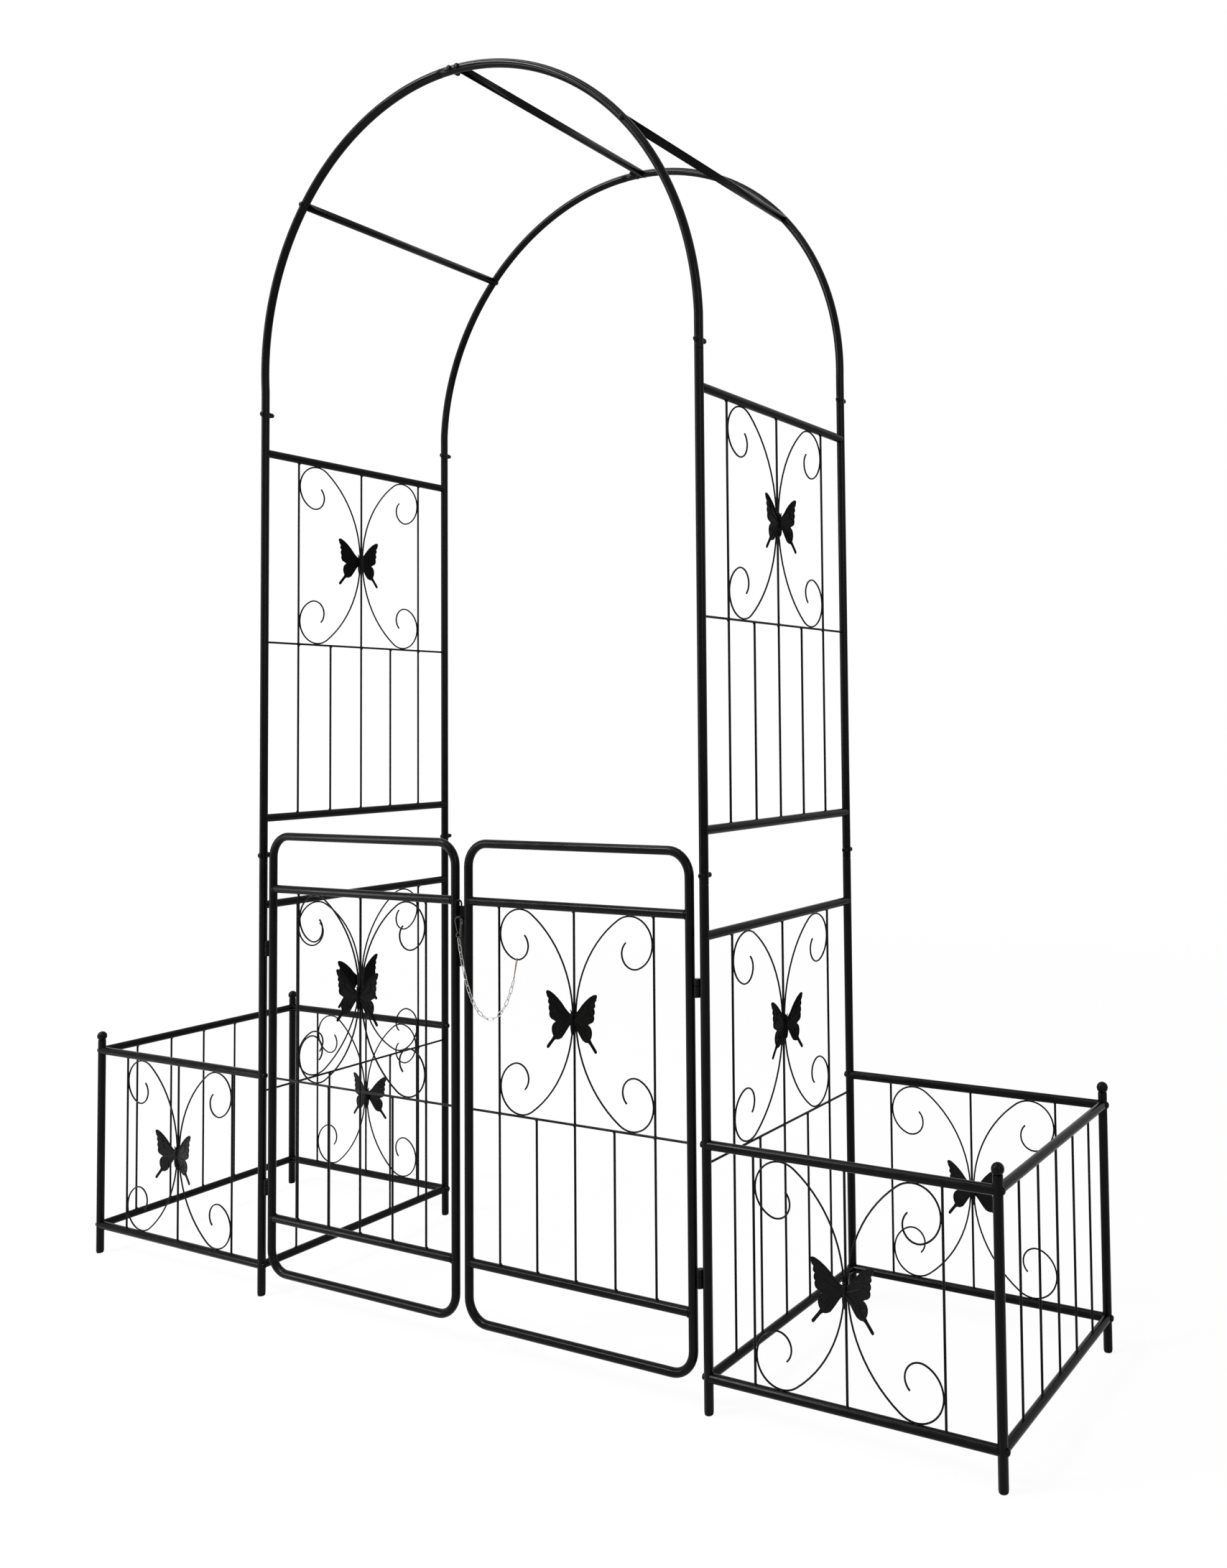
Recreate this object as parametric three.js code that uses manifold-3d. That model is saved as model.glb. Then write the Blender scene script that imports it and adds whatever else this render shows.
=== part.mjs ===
// Steel garden arch with a pair of gate leaves across the front and a planter box on each side.
// Millimetres. X runs across the opening, Y from the gate side (-Y) to the back, Z up from the ground.
// The origin is on the ground, in the middle of the footprint.
import * as THREE from "three";
import { mergeVertices } from "three/addons/utils/BufferGeometryUtils.js";
import Module from "manifold-3d";

// Stock and fits
const tubeDiameter = 15; // posts, hoops, rails and gate frames
const crossbarDiameter = 15;
const barDiameter = 4; // upright bars and the thin level bar
const wireDiameter = 3; // scrolls and the latch eye
const socketWall = 1.2; // tube wall round a sleeve joint
const seatGap = 0.3; // between two pieces that touch
const weldSink = 0.5; // how far a wire or bar sinks into what it is welded to
const overrun = 5; // how far a cutting tool runs past what it cuts
const grain = 1e-4; // coordinates are rounded to this

// Arch frame
const archSpan = 1000; // post axis to post axis, across the opening
const archDepth = 480; // front post axis to back post axis
const footHeight = 56; // ground to the axis of the lowest rails
const lowerPanelHeight = 671; // rail axis to rail axis
const lowerScrollHeight = 349; // thin level bar to the top rail
const lowerJointRise = 79; // top rail of the lower panel to the seam above it
const upperPanelRise = 85; // seam to the bottom rail of the upper panel
const upperPanelHeight = 701;
const upperScrollHeight = 365;
const hoopJointRise = 60; // top rail of the upper panel to the seam of the hoop
const hoopShank = 58; // seam of the hoop to where its bend starts
const sleeveLength = 45; // how far a neck reaches into its socket
const sleeveBoltRise = 15; // seam to bolt
const crownSeamOffset = 15; // seam at the crown, left of the middle
const crownBoltReach = 23; // crown seam to its bolt
const crossbarAngle = 42; // degrees above the horizontal
const hoopLean = 30; // how far a hoop leans out from its posts, at the crown
const topCrossbarOffset = 26; // right of the middle
const barPitch = 80; // gate leaves and side panels
const footChamfer = 2;

// Planter boxes
const planterWidth = 480; // arch post axis to outer post axis
const planterHeight = 351.5; // rail axis to rail axis
const planterBarPitch = 78;
const outerPostRise = 19.5; // top rail axis to the top of the outer post
const finialDiameter = 19;
const finialWaist = 11; // where the ball meets its collar
const finialCollar = 1.5;
const finialStem = 14;

// Gate leaves
const gateFoot = 50; // ground to the axis of the bottom tube
const gateHeight = 808; // bottom tube axis to top tube axis
const gateCornerRadius = 40;
const gateLowRailRise = 98; // bottom tube to lower rail
const gateHighRailDrop = 99; // top tube to upper rail
const gateScrollHeight = 353;
const hingeSpace = 27.5; // post axis to stile axis
const leafSpace = 30; // stile axis to stile axis where the leaves meet
const lowHingeRise = 40; // lower rail to the foot of the lower hinge
const highHingeDrop = 127; // upper rail to the foot of the upper hinge
const hingePostBarrel = 18;
const hingeGateBarrel = 11;
const hingePinDiameter = 6;
const hingePinClearance = 0.1;

// Scrolls
const curlRadius = 43;
const curlEyeRadius = 24;
const curlEyeStart = 69; // degrees below the horizontal where the curl tightens
const curlEyeEnd = 228; // degrees, its free end

// Butterflies
const wingReach = 54; // body axis to wing tip
const wingHeight = 96;
const wingThickness = 1.2;
const wingLift = 8; // degrees, wings raised off the panel
const bodyDiameter = 5.2;
const bodyLength = 40;

// Bolts
const boltHeadDiameter = 10.6;
const boltHeadHeight = 3;
const boltRim = 1.2;

// Latch eye and stop strip
const eyeWidth = 17;
const eyeHeight = 34.5;
const eyeSeatTurn = 46; // degrees round the stile from the gap to the front
const eyeDrop = 14; // upper rail axis to the middle of the eye
const stripThickness = 3;
const stripHeight = 104;
const stripDrop = 9; // upper rail axis to the top of the strip
const stripGap = 1.5; // to the stile of the other leaf

// Safety chain and its clips
const clipWireDiameter = 1.4;
const clipWidth = 13.6;
const clipLength = 36; // axis of the hook to axis of the loop
const clipLoopWidth = 8.4;
const clipLoopStart = 35; // degrees above the horizontal where the shank meets the loop
const clipLoopEnd = -250;
const clipTipDrop = 12;
const clipTipInset = 4; // tip of the hook, inwards of its bend
const leftClipTurn = 40; // degrees about the upright
const leftClipSway = { right: 6.6, forward: 7 }; // from hook to loop
const rightClipTurn = -47;
const rightClipSway = { right: 0, forward: 6 };
const linkCount = 21;
const linkPitch = 11.35;
const linkWidth = 6.5;
const linkWireDiameter = 1.5;
const linkBite = 0.25; // how far one link's wire beds into the next
const linkTurn = 45; // degrees, to either side in turn

// Facets round and along
const tubeSides = 8;
const railSides = 8;
const barSides = 4;
const wireSides = 4;
const boltSides = 6;
const cornerSteps = 3;
const hoopLowSteps = 5;
const hoopHighSteps = 5;
const tongueSteps = 2;
const bowSteps = 4;
const curlSteps = 4;
const curlEyeSteps = 3;
const eyeEndSteps = 3;
const linkEndSteps = 2;
const clipSteps = 5;
const finialRings = 5;

// Sizes and heights that follow
const tubeRadius = tubeDiameter / 2;
const barRadius = barDiameter / 2;
const wireRadius = wireDiameter / 2;
const clipWireRadius = clipWireDiameter / 2;
const bore = tubeRadius - socketWall;
const neck = bore - seatGap;
const postX = archSpan / 2;
const postY = archDepth / 2;
const outerX = postX + planterWidth;
const lowerTop = footHeight + lowerPanelHeight;
const lowerSeam = lowerTop + lowerJointRise;
const upperBottom = lowerSeam + upperPanelRise;
const upperTop = upperBottom + upperPanelHeight;
const hoopSeam = upperTop + hoopJointRise;
const springLine = hoopSeam + hoopShank;
const planterTop = footHeight + planterHeight;
const outerPostTop = planterTop + outerPostRise;
const gateTop = gateFoot + gateHeight;
const gateLowRail = gateFoot + gateLowRailRise;
const gateHighRail = gateTop - gateHighRailDrop;
const gateLevelBar = gateHighRail - gateScrollHeight;
const hingeX = postX - hingeSpace / 2;
const leafWidth = postX - hingeSpace - leafSpace / 2;
const leafMiddle = (leafSpace + leafWidth) / 2;
const barrelRadius = (hingeSpace - tubeDiameter) / 2 - seatGap;
const hingeFeet = { lower: gateLowRail + lowHingeRise, upper: gateHighRail - highHingeDrop };
const linkHalf = (linkPitch + linkWireDiameter - linkBite) / 2; // middle of a link to its end wire
const radians = THREE.MathUtils.degToRad;
const degrees = THREE.MathUtils.radToDeg;
const point = (x, y, z) => new THREE.Vector3(x, y, z);

const wasm = await Module();
wasm.setup();

// A closed geometry as a solid, its shared corners merged and its faces turned outwards.
function solidOf(geometry) {
  const bare = new THREE.BufferGeometry();
  bare.setAttribute("position", geometry.getAttribute("position").clone());
  bare.setIndex(geometry.index);
  const merged = mergeVertices(bare, grain);
  const places = merged.getAttribute("position").array.map((v) => Math.round(v / grain) * grain);
  const corners = [];
  for (let i = 0; i < merged.index.count; i += 3) {
    const [a, b, c] = [0, 1, 2].map((k) => merged.index.getX(i + k));
    if (a !== b && b !== c && c !== a) corners.push([a, b, c]);
  }
  const build = (faces) => {
    const mesh = { numProp: 3, vertProperties: places, triVerts: Uint32Array.from(faces.flat()) };
    return new wasm.Manifold(new wasm.Mesh(mesh));
  };
  const made = build(corners);
  return made.volume() > 0 ? made : build(corners.map(([a, b, c]) => [a, c, b]));
}

function geometryOf(made) {
  const mesh = made.getMesh();
  const geometry = new THREE.BufferGeometry();
  geometry.setAttribute("position", new THREE.BufferAttribute(mesh.vertProperties, 3));
  geometry.setIndex(new THREE.BufferAttribute(mesh.triVerts, 1));
  return geometry;
}

function join(...geometries) {
  return geometryOf(geometries.map(solidOf).reduce((whole, next) => whole.add(next)));
}

function cut(geometry, ...tools) {
  const whole = solidOf(geometry);
  return geometryOf(tools.map(solidOf).reduce((rest, tool) => rest.subtract(tool), whole));
}

const mirrored = (geometry) => geometry.clone().scale(-1, 1, 1);

// A round bar between two points.
function rod(from, to, radius, sides) {
  const along = new THREE.Vector3().subVectors(to, from);
  const middle = new THREE.Vector3().addVectors(from, to).divideScalar(2);
  const turn = new THREE.Quaternion().setFromUnitVectors(point(0, 1, 0), along.clone().normalize());
  const geometry = new THREE.CylinderGeometry(radius, radius, along.length(), sides);
  return geometry.applyQuaternion(turn).translate(middle.x, middle.y, middle.z);
}

// A piece turned about the upright through the origin; the profile is [radius, height] pairs.
function turned(profile, sides) {
  const points = profile.map(([radius, height]) => new THREE.Vector2(radius, height));
  return new THREE.LatheGeometry(points, sides).rotateX(Math.PI / 2);
}

// A path in the XZ plane: flat curves laid end to end, each walked in its own number of steps.
class Bend extends THREE.Curve {
  constructor(runs) {
    super();
    this.runs = runs;
    this.steps = runs.reduce((sum, run) => sum + run.steps, 0);
  }
  locate(t) {
    let walked = t * this.steps;
    const run = this.runs.find((each) => {
      if (walked <= each.steps + grain) return true;
      walked -= each.steps;
      return false;
    });
    return [run.curve, Math.min(walked / run.steps, 1)];
  }
  getPoint(t) {
    const [curve, share] = this.locate(t);
    const flat = curve.getPoint(share);
    return point(flat.x, 0, flat.y);
  }
  getPointAt(t) {
    return this.getPoint(t);
  }
  getTangentAt(t) {
    const [curve, share] = this.locate(t);
    const flat = curve.getTangent(share);
    return point(flat.x, 0, flat.y);
  }
}

function straight(x0, z0, x1, z1) {
  return { curve: new THREE.LineCurve(new THREE.Vector2(x0, z0), new THREE.Vector2(x1, z1)), steps: 1 };
}

// Angles are in degrees from +X towards +Z, and the arc turns the way they are given.
function arc(x, z, radius, from, to, steps) {
  const curve = new THREE.EllipseCurve(x, z, radius, radius, radians(from), radians(to), to < from);
  return { curve, steps };
}

function bentRod(runs, radius, sides) {
  const path = new Bend(runs);
  const corners = Array.from({ length: sides }, (_, i) => {
    const angle = (i * 2 * Math.PI) / sides;
    return new THREE.Vector2(radius * Math.cos(angle), radius * Math.sin(angle));
  });
  const options = { steps: path.steps, extrudePath: path };
  return new THREE.ExtrudeGeometry(new THREE.Shape(corners), options);
}

// An oval ring of wire in the XZ plane round the origin.
function ovalRing(width, height, wire, sides, steps) {
  const bend = (width - wire) / 2;
  const rise = (height - width) / 2;
  const half = bentRod(
    [
      arc(0, rise, bend, 90, 180, steps),
      straight(-bend, rise, -bend, -rise),
      arc(0, -rise, bend, 180, 270, steps),
    ],
    wire / 2,
    sides,
  );
  return join(half, mirrored(half));
}

// A dome head on a tube that stands on the Z axis, its crown in the given direction from +X.
function boltHead(z, turn) {
  const radius = boltHeadDiameter / 2;
  const crown = tubeRadius + boltHeadHeight;
  const head = turned(
    [
      [0, 0],
      [radius, 0],
      [radius, tubeRadius + boltRim],
      [radius / 2, crown],
      [0, crown],
    ],
    boltSides,
  );
  return head.rotateY(Math.PI / 2).rotateZ(radians(turn)).translate(0, 0, z);
}

const boltThroughDepth = (z) => [boltHead(z, -90), boltHead(z, 90)];

// A scroll that leans on the bar at x = 0: one wire with a long bow and a curl at each end, and each
// curl tightens towards its free end. It fills 0 to reach and -rise to rise.
function curlEyeCentre(reach, rise) {
  const slip = curlRadius - curlEyeRadius;
  return {
    x: reach - curlRadius + slip * Math.cos(radians(curlEyeStart)),
    z: rise - curlRadius - slip * Math.sin(radians(curlEyeStart)),
  };
}

function scroll(reach, rise) {
  const x = reach - curlRadius;
  const z = rise - curlRadius;
  const bow = (x * x + z * z - curlRadius * curlRadius) / (2 * (x - curlRadius));
  const bowTurn = degrees(Math.atan2(z, bow - x));
  const eye = curlEyeCentre(reach, rise);
  return bentRod(
    [
      arc(eye.x, eye.z, curlEyeRadius, -curlEyeEnd, -curlEyeStart, curlEyeSteps),
      arc(x, z, curlRadius, -curlEyeStart, 180 - bowTurn, curlSteps),
      arc(bow, 0, bow, 180 - bowTurn, 180 + bowTurn, bowSteps),
      arc(x, -z, curlRadius, 180 + bowTurn, 360 + curlEyeStart, curlSteps),
      arc(eye.x, -eye.z, curlEyeRadius, curlEyeStart, curlEyeEnd, curlEyeSteps),
    ],
    wireRadius,
    wireSides,
  );
}

// The room for a pair of scrolls between two level members, and how they fill it.
function scrollRoom(low, lowRadius, high, highRadius, pitch) {
  const foot = low + lowRadius;
  const head = high - highRadius;
  const touch = barRadius + wireRadius - weldSink;
  const rise = (head - foot) / 2 - wireRadius + weldSink;
  return { middle: (foot + head) / 2, touch, reach: 2 * pitch - 2 * touch, rise };
}

function scrollPair({ middle, touch, reach, rise }) {
  const right = scroll(reach, rise).translate(touch, 0, middle);
  return [right, mirrored(right)];
}

const lowerRoom = scrollRoom(lowerTop - lowerScrollHeight, barRadius, lowerTop, tubeRadius, barPitch);
const upperRoom = scrollRoom(upperTop - upperScrollHeight, barRadius, upperTop, tubeRadius, barPitch);
const planterRoom = scrollRoom(footHeight, tubeRadius, planterTop, tubeRadius, planterBarPitch);
const gateRoom = scrollRoom(gateLevelBar, barRadius, gateHighRail, tubeRadius, barPitch);

// A rail along X, its ends hollowed to fit round the two posts it joins. Where a rail runs past at
// right angles the end is hollowed to fit that one too.
function copedRail(span, z, crossed = false) {
  const reach = span / 2;
  const clear = tubeRadius + seatGap;
  const past = tubeRadius + overrun;
  const rail = rod(point(-reach, 0, z), point(reach, 0, z), tubeRadius, railSides);
  const tools = [-reach, reach].flatMap((x) => {
    const post = rod(point(x, 0, z - past), point(x, 0, z + past), clear, tubeSides);
    const crossing = rod(point(x, -past, z), point(x, past, z), clear, railSides);
    return crossed ? [post, crossing] : [post];
  });
  return cut(rail, ...tools);
}

function upright(x, low, high) {
  return rod(point(x, 0, low), point(x, 0, high), barRadius, barSides);
}

function levelBar(reach, z, radius, sides) {
  return rod(point(-reach, 0, z), point(reach, 0, z), radius, sides);
}

// Three full bars, two half bars under a thin level bar, and a pair of scrolls over it.
function grilleBars(reach, low, high, scrollHeight, room, pitch) {
  const middle = high - scrollHeight;
  return [
    levelBar(reach, middle, barRadius, barSides),
    ...[-2, 0, 2].map((step) => upright(step * pitch, low, high)),
    ...[-1, 1].map((step) => upright(step * pitch, low, middle)),
    ...scrollPair(room),
  ];
}

function sidePanel(low, high, scrollHeight, room, crossed) {
  const reach = postY - tubeRadius - seatGap;
  return join(
    copedRail(archDepth, low, crossed),
    copedRail(archDepth, high),
    ...grilleBars(reach, low, high, scrollHeight, room, barPitch),
  );
}

// The front or back of a planter box: three bars and a pair of scrolls between two rails.
function planterPanel() {
  return join(
    copedRail(planterWidth, footHeight),
    copedRail(planterWidth, planterTop),
    ...[-2, 0, 2].map((step) => upright(step * planterBarPitch, footHeight, planterTop)),
    ...scrollPair(planterRoom),
  );
}

// The outer side of a planter box: five bars between two rails.
function planterSide() {
  return join(
    copedRail(archDepth, footHeight, true),
    copedRail(archDepth, planterTop, true),
    ...[-2, -1, 0, 1, 2].map((step) => upright(step * barPitch, footHeight, planterTop)),
  );
}

// A gate leaf: a tube frame bent from two U's that meet halfway up its stiles, with two rails, bars
// and scrolls welded in.
function gateLeaf() {
  const side = leafWidth / 2;
  const r = gateCornerRadius;
  const half = (gateFoot + gateTop) / 2;
  const lap = tubeRadius;
  const lower = [
    straight(-side, half + lap, -side, gateFoot + r),
    arc(r - side, gateFoot + r, r, 180, 270, cornerSteps),
    straight(r - side, gateFoot, side - r, gateFoot),
    arc(side - r, gateFoot + r, r, 270, 360, cornerSteps),
    straight(side, gateFoot + r, side, half + lap),
  ];
  const upper = [
    straight(-side, half - lap, -side, gateTop - r),
    arc(r - side, gateTop - r, r, 180, 90, cornerSteps),
    straight(r - side, gateTop, side - r, gateTop),
    arc(side - r, gateTop - r, r, 90, 0, cornerSteps),
    straight(side, gateTop - r, side, half - lap),
  ];
  return join(
    bentRod(lower, tubeRadius, tubeSides),
    bentRod(upper, tubeRadius, tubeSides),
    levelBar(side, gateLowRail, tubeRadius, railSides),
    levelBar(side, gateHighRail, tubeRadius, railSides),
    ...grilleBars(side, gateLowRail, gateHighRail, gateScrollHeight, gateRoom, barPitch),
  );
}

// Half of a butterfly's outline, from the top of the body round the wings and the tail and back to
// the body: shares of the wing's reach and of its height.
const wingOutlineShares = [
  [0.02, 0.115],
  [0.26, 0.198],
  [0.5, 0.323],
  [0.76, 0.417],
  [0.98, 0.432],
  [1, 0.375],
  [0.87, 0.26],
  [0.86, 0.083],
  [0.78, -0.042],
  [0.61, -0.083],
  [0.76, -0.188],
  [0.74, -0.302],
  [0.67, -0.349],
  [0.96, -0.531],
  [0.89, -0.562],
  [0.57, -0.37],
  [0.39, -0.38],
  [0.22, -0.292],
  [0.02, -0.125],
];

// A pressed butterfly that faces -Y, its body just clear of the bar behind it.
function butterfly() {
  const points = wingOutlineShares.map(([x, z]) => new THREE.Vector2(x * wingReach, z * wingHeight));
  const options = { depth: wingThickness, bevelEnabled: false };
  const wing = new THREE.ExtrudeGeometry(new THREE.Shape(points), options)
    .translate(0, 0, -wingThickness / 2)
    .rotateX(Math.PI / 2)
    .rotateZ(-radians(wingLift));
  const half = bodyLength / 2;
  const body = turned(
    [
      [0, -half],
      [bodyDiameter / 2, -half / 2],
      [bodyDiameter / 2, half / 2],
      [0, half],
    ],
    barSides,
  );
  return join(wing, mirrored(wing), body).translate(0, -barRadius - seatGap - bodyDiameter / 2, 0);
}

// A lower arch post ends in a neck. Its bolts hold the rails of the planter box.
function lowerPost(inwards) {
  const neckTop = lowerSeam + sleeveLength - seatGap;
  const tube = turned(
    [
      [0, 0],
      [tubeRadius - footChamfer, 0],
      [tubeRadius, footChamfer],
      [tubeRadius, lowerSeam],
      [neck, lowerSeam],
      [neck, neckTop],
      [0, neckTop],
    ],
    tubeSides,
  );
  return join(tube, boltHead(footHeight, inwards), boltHead(planterTop, inwards));
}

const socket = (seam) => rod(point(0, 0, seam - overrun), point(0, 0, seam + sleeveLength), bore, tubeSides);

// An upper arch post drops over the neck of the lower one and ends in a neck of its own.
function upperPost() {
  const foot = lowerSeam + seatGap;
  const neckTop = hoopSeam + sleeveLength - seatGap;
  const tube = turned(
    [
      [0, foot],
      [tubeRadius, foot],
      [tubeRadius, hoopSeam],
      [neck, hoopSeam],
      [neck, neckTop],
      [0, neckTop],
    ],
    tubeSides,
  );
  return cut(join(tube, ...boltThroughDepth(lowerSeam + sleeveBoltRise)), socket(lowerSeam));
}

// How far round the hoop, in degrees, a length along its axis reaches.
const hoopTurn = (length) => degrees(length / postX);

const crownSocketStart = 90 + hoopTurn(crownSeamOffset - sleeveLength);

// The bend of a quarter hoop on the right, up to the given angle.
function hoopRuns(end) {
  return [
    straight(postX, hoopSeam + seatGap, postX, springLine),
    arc(0, springLine, postX, 0, crossbarAngle, hoopLowSteps),
    arc(0, springLine, postX, crossbarAngle, crownSocketStart, hoopHighSteps),
    arc(0, springLine, postX, crownSocketStart, end, tongueSteps),
  ];
}

// How far a hoop leans out at a height. It stands upright up to where its bend starts.
const leanAt = (height) => (hoopLean * Math.max(0, height - springLine)) / postX;

function leaned(geometry, outwards) {
  const places = geometry.getAttribute("position");
  for (let i = 0; i < places.count; i += 1) {
    places.setY(i, places.getY(i) + outwards * leanAt(places.getZ(i)));
  }
  return geometry;
}

function hoopBolt(angle, turn) {
  const x = postX * Math.cos(radians(angle));
  const z = springLine + postX * Math.sin(radians(angle));
  return boltHead(0, turn).translate(x, 0, z);
}

const topCrossbarAngle = degrees(Math.acos(topCrossbarOffset / postX));
const footBolts = boltThroughDepth(hoopSeam + sleeveBoltRise).map((head) => head.translate(postX, 0, 0));
const footSocket = socket(hoopSeam).translate(postX, 0, 0);

// The right quarter of a hoop carries the socket of the crown joint and two crossbars.
function rightQuarter(outwards) {
  const seam = 90 + hoopTurn(crownSeamOffset);
  const bolt = seam - hoopTurn(crownBoltReach);
  const past = seam + hoopTurn(overrun);
  const hollow = arc(0, springLine, postX, crownSocketStart, past, tongueSteps);
  const whole = join(
    bentRod(hoopRuns(seam - hoopTurn(seatGap)), tubeRadius, tubeSides),
    ...footBolts,
    hoopBolt(bolt, -90),
    hoopBolt(bolt, 90),
    hoopBolt(crossbarAngle, outwards),
    hoopBolt(topCrossbarAngle, outwards),
  );
  return cut(whole, footSocket, bentRod([hollow], bore, tubeSides));
}

// The left quarter ends in the neck of the crown joint.
function leftQuarter(outwards) {
  const seam = 90 - hoopTurn(crownSeamOffset);
  const tip = seam + hoopTurn(sleeveLength - seatGap);
  const tongue = arc(0, springLine, postX, seam - hoopTurn(overrun), tip, tongueSteps);
  const whole = join(
    bentRod(hoopRuns(seam), tubeRadius, tubeSides),
    bentRod([tongue], neck, tubeSides),
    ...footBolts,
    hoopBolt(crossbarAngle, outwards),
  );
  return mirrored(cut(whole, footSocket));
}

// A crossbar between the front and back hoops, its ends hollowed to fit them.
function crossbar(angle) {
  const x = postX * Math.cos(radians(angle));
  const z = springLine + postX * Math.sin(radians(angle));
  const y = postY + leanAt(z);
  const bar = rod(point(x, -y, z), point(x, y, z), crossbarDiameter / 2, railSides);
  const hoop = bentRod(hoopRuns(90 + hoopTurn(crownSeamOffset)), tubeRadius + seatGap, tubeSides);
  const hoops = faces.map((face) => leaned(hoop.clone(), face.y).translate(0, face.y * postY, 0));
  return cut(bar, ...hoops);
}

// An outer post of a planter box, open at the top for its finial.
function outerPost(outwards) {
  const tube = turned(
    [
      [0, 0],
      [tubeRadius - footChamfer, 0],
      [tubeRadius, footChamfer],
      [tubeRadius, outerPostTop],
      [bore, outerPostTop],
      [bore, outerPostTop - finialStem - seatGap],
      [0, outerPostTop - finialStem - seatGap],
    ],
    tubeSides,
  );
  return join(tube, boltHead(footHeight, outwards), boltHead(planterTop, outwards));
}

// A ball on a collar, with a stem that is pressed into the post.
function finial() {
  const radius = finialDiameter / 2;
  const waist = finialWaist / 2;
  const middle = seatGap + finialCollar + Math.sqrt(radius * radius - waist * waist);
  const start = Math.asin(waist / radius);
  const profile = [
    [0, -finialStem],
    [neck, -finialStem],
    [neck, seatGap],
    [tubeRadius, seatGap],
    [tubeRadius, seatGap + finialCollar],
  ];
  for (let ring = 0; ring <= finialRings; ring += 1) {
    const angle = start + ((Math.PI - start) * ring) / finialRings;
    const out = ring === finialRings ? 0 : radius * Math.sin(angle);
    profile.push([out, middle - radius * Math.cos(angle)]);
  }
  return turned(profile, tubeSides);
}

// The lower half of a hinge is welded to the post and has a pin standing in it.
function hingePin() {
  const pin = hingePinDiameter / 2;
  const head = hingePostBarrel + hingeGateBarrel;
  return turned(
    [
      [0, 0],
      [barrelRadius, 0],
      [barrelRadius, hingePostBarrel],
      [pin, hingePostBarrel],
      [pin, head],
      [0, head],
    ],
    tubeSides,
  );
}

// The upper half is welded to the leaf and drops over the pin. Its bore clears the pin's corners.
function hingeBarrel() {
  const hole = (hingePinDiameter / 2 + hingePinClearance) / Math.cos(Math.PI / tubeSides);
  const foot = hingePostBarrel + seatGap;
  const head = hingePostBarrel + hingeGateBarrel;
  return turned(
    [
      [hole, foot],
      [barrelRadius, foot],
      [barrelRadius, head],
      [hole, head],
      [hole, foot],
    ],
    tubeSides,
  );
}

// A flat strip that closes most of the gap between the leaves.
function stopStrip() {
  const width = leafSpace - tubeDiameter - seatGap - stripGap;
  return new THREE.BoxGeometry(width, stripThickness, stripHeight);
}

// A clip of bent wire that hangs from the origin: a hook with a free tip, a shank and a loop.
function springClip() {
  const bend = (clipWidth - clipWireDiameter) / 2;
  const loop = (clipLoopWidth - clipWireDiameter) / 2;
  const loopZ = loop - clipLength;
  const meetX = loop * Math.cos(radians(clipLoopStart));
  const meetZ = loopZ + loop * Math.sin(radians(clipLoopStart));
  return bentRod(
    [
      straight(clipTipInset - bend, -bend - clipTipDrop, -bend, -bend),
      arc(0, -bend, bend, 180, 0, clipSteps),
      straight(bend, -bend, meetX, meetZ),
      arc(0, loopZ, loop, clipLoopStart, clipLoopEnd, clipSteps),
    ],
    clipWireRadius,
    wireSides,
  );
}

const halvings = 60;

// The catenary of a given length between two points: from a distance along it to a place and a
// direction there.
function hangingCurve(from, to, length) {
  const across = new THREE.Vector3(to.x - from.x, to.y - from.y, 0);
  const span = across.length();
  across.normalize();
  const rise = to.z - from.z;
  const slack = Math.sqrt(length * length - rise * rise);
  let low = span / linkCount;
  let high = span * linkCount;
  for (let i = 0; i < halvings; i += 1) {
    const middle = (low + high) / 2;
    if (2 * middle * Math.sinh(span / (2 * middle)) > slack) low = middle;
    else high = middle;
  }
  const bend = high;
  const start = span / 2 - bend * Math.asinh(rise / slack);
  const first = Math.sinh(-start / bend);
  return (distance) => {
    const slope = first + distance / bend;
    const x = start + bend * Math.asinh(slope);
    const z = from.z + bend * (Math.cosh((x - start) / bend) - Math.cosh(start / bend));
    const place = point(from.x, from.y, z).addScaledVector(across, x);
    return { place, across, direction: across.clone().setZ(slope).normalize() };
  };
}

// A chain of oval links, each turned to the other side from the one before.
function chain(from, to) {
  const hang = hangingCurve(from, to, 2 * linkHalf + (linkCount - 1) * linkPitch);
  const outside = 2 * linkHalf + linkWireDiameter;
  const link = ovalRing(linkWidth, outside, linkWireDiameter, wireSides, linkEndSteps);
  const links = Array.from({ length: linkCount }, (_, i) => {
    const { place, across, direction } = hang(linkHalf + i * linkPitch);
    const level = new THREE.Vector3().crossVectors(point(0, 0, 1), across);
    const side = level.applyAxisAngle(direction, radians(i % 2 ? linkTurn : -linkTurn));
    const normal = new THREE.Vector3().crossVectors(direction, side);
    const frame = new THREE.Matrix4().makeBasis(side, normal, direction).setPosition(place);
    return link.clone().applyMatrix4(frame);
  });
  return join(...links);
}

// Finishes
const paint = new THREE.MeshStandardMaterial({ color: 0x141414, roughness: 0.38, metalness: 0.2 });
const stamped = new THREE.MeshStandardMaterial({ color: 0x1a1a1a, roughness: 0.5, metalness: 0.2 });
const zinc = new THREE.MeshStandardMaterial({ color: 0xb9bcbe, roughness: 0.3, metalness: 0.9 });
const nickel = new THREE.MeshStandardMaterial({ color: 0x7a7365, roughness: 0.35, metalness: 0.9 });

const part = new THREE.Group();

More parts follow.
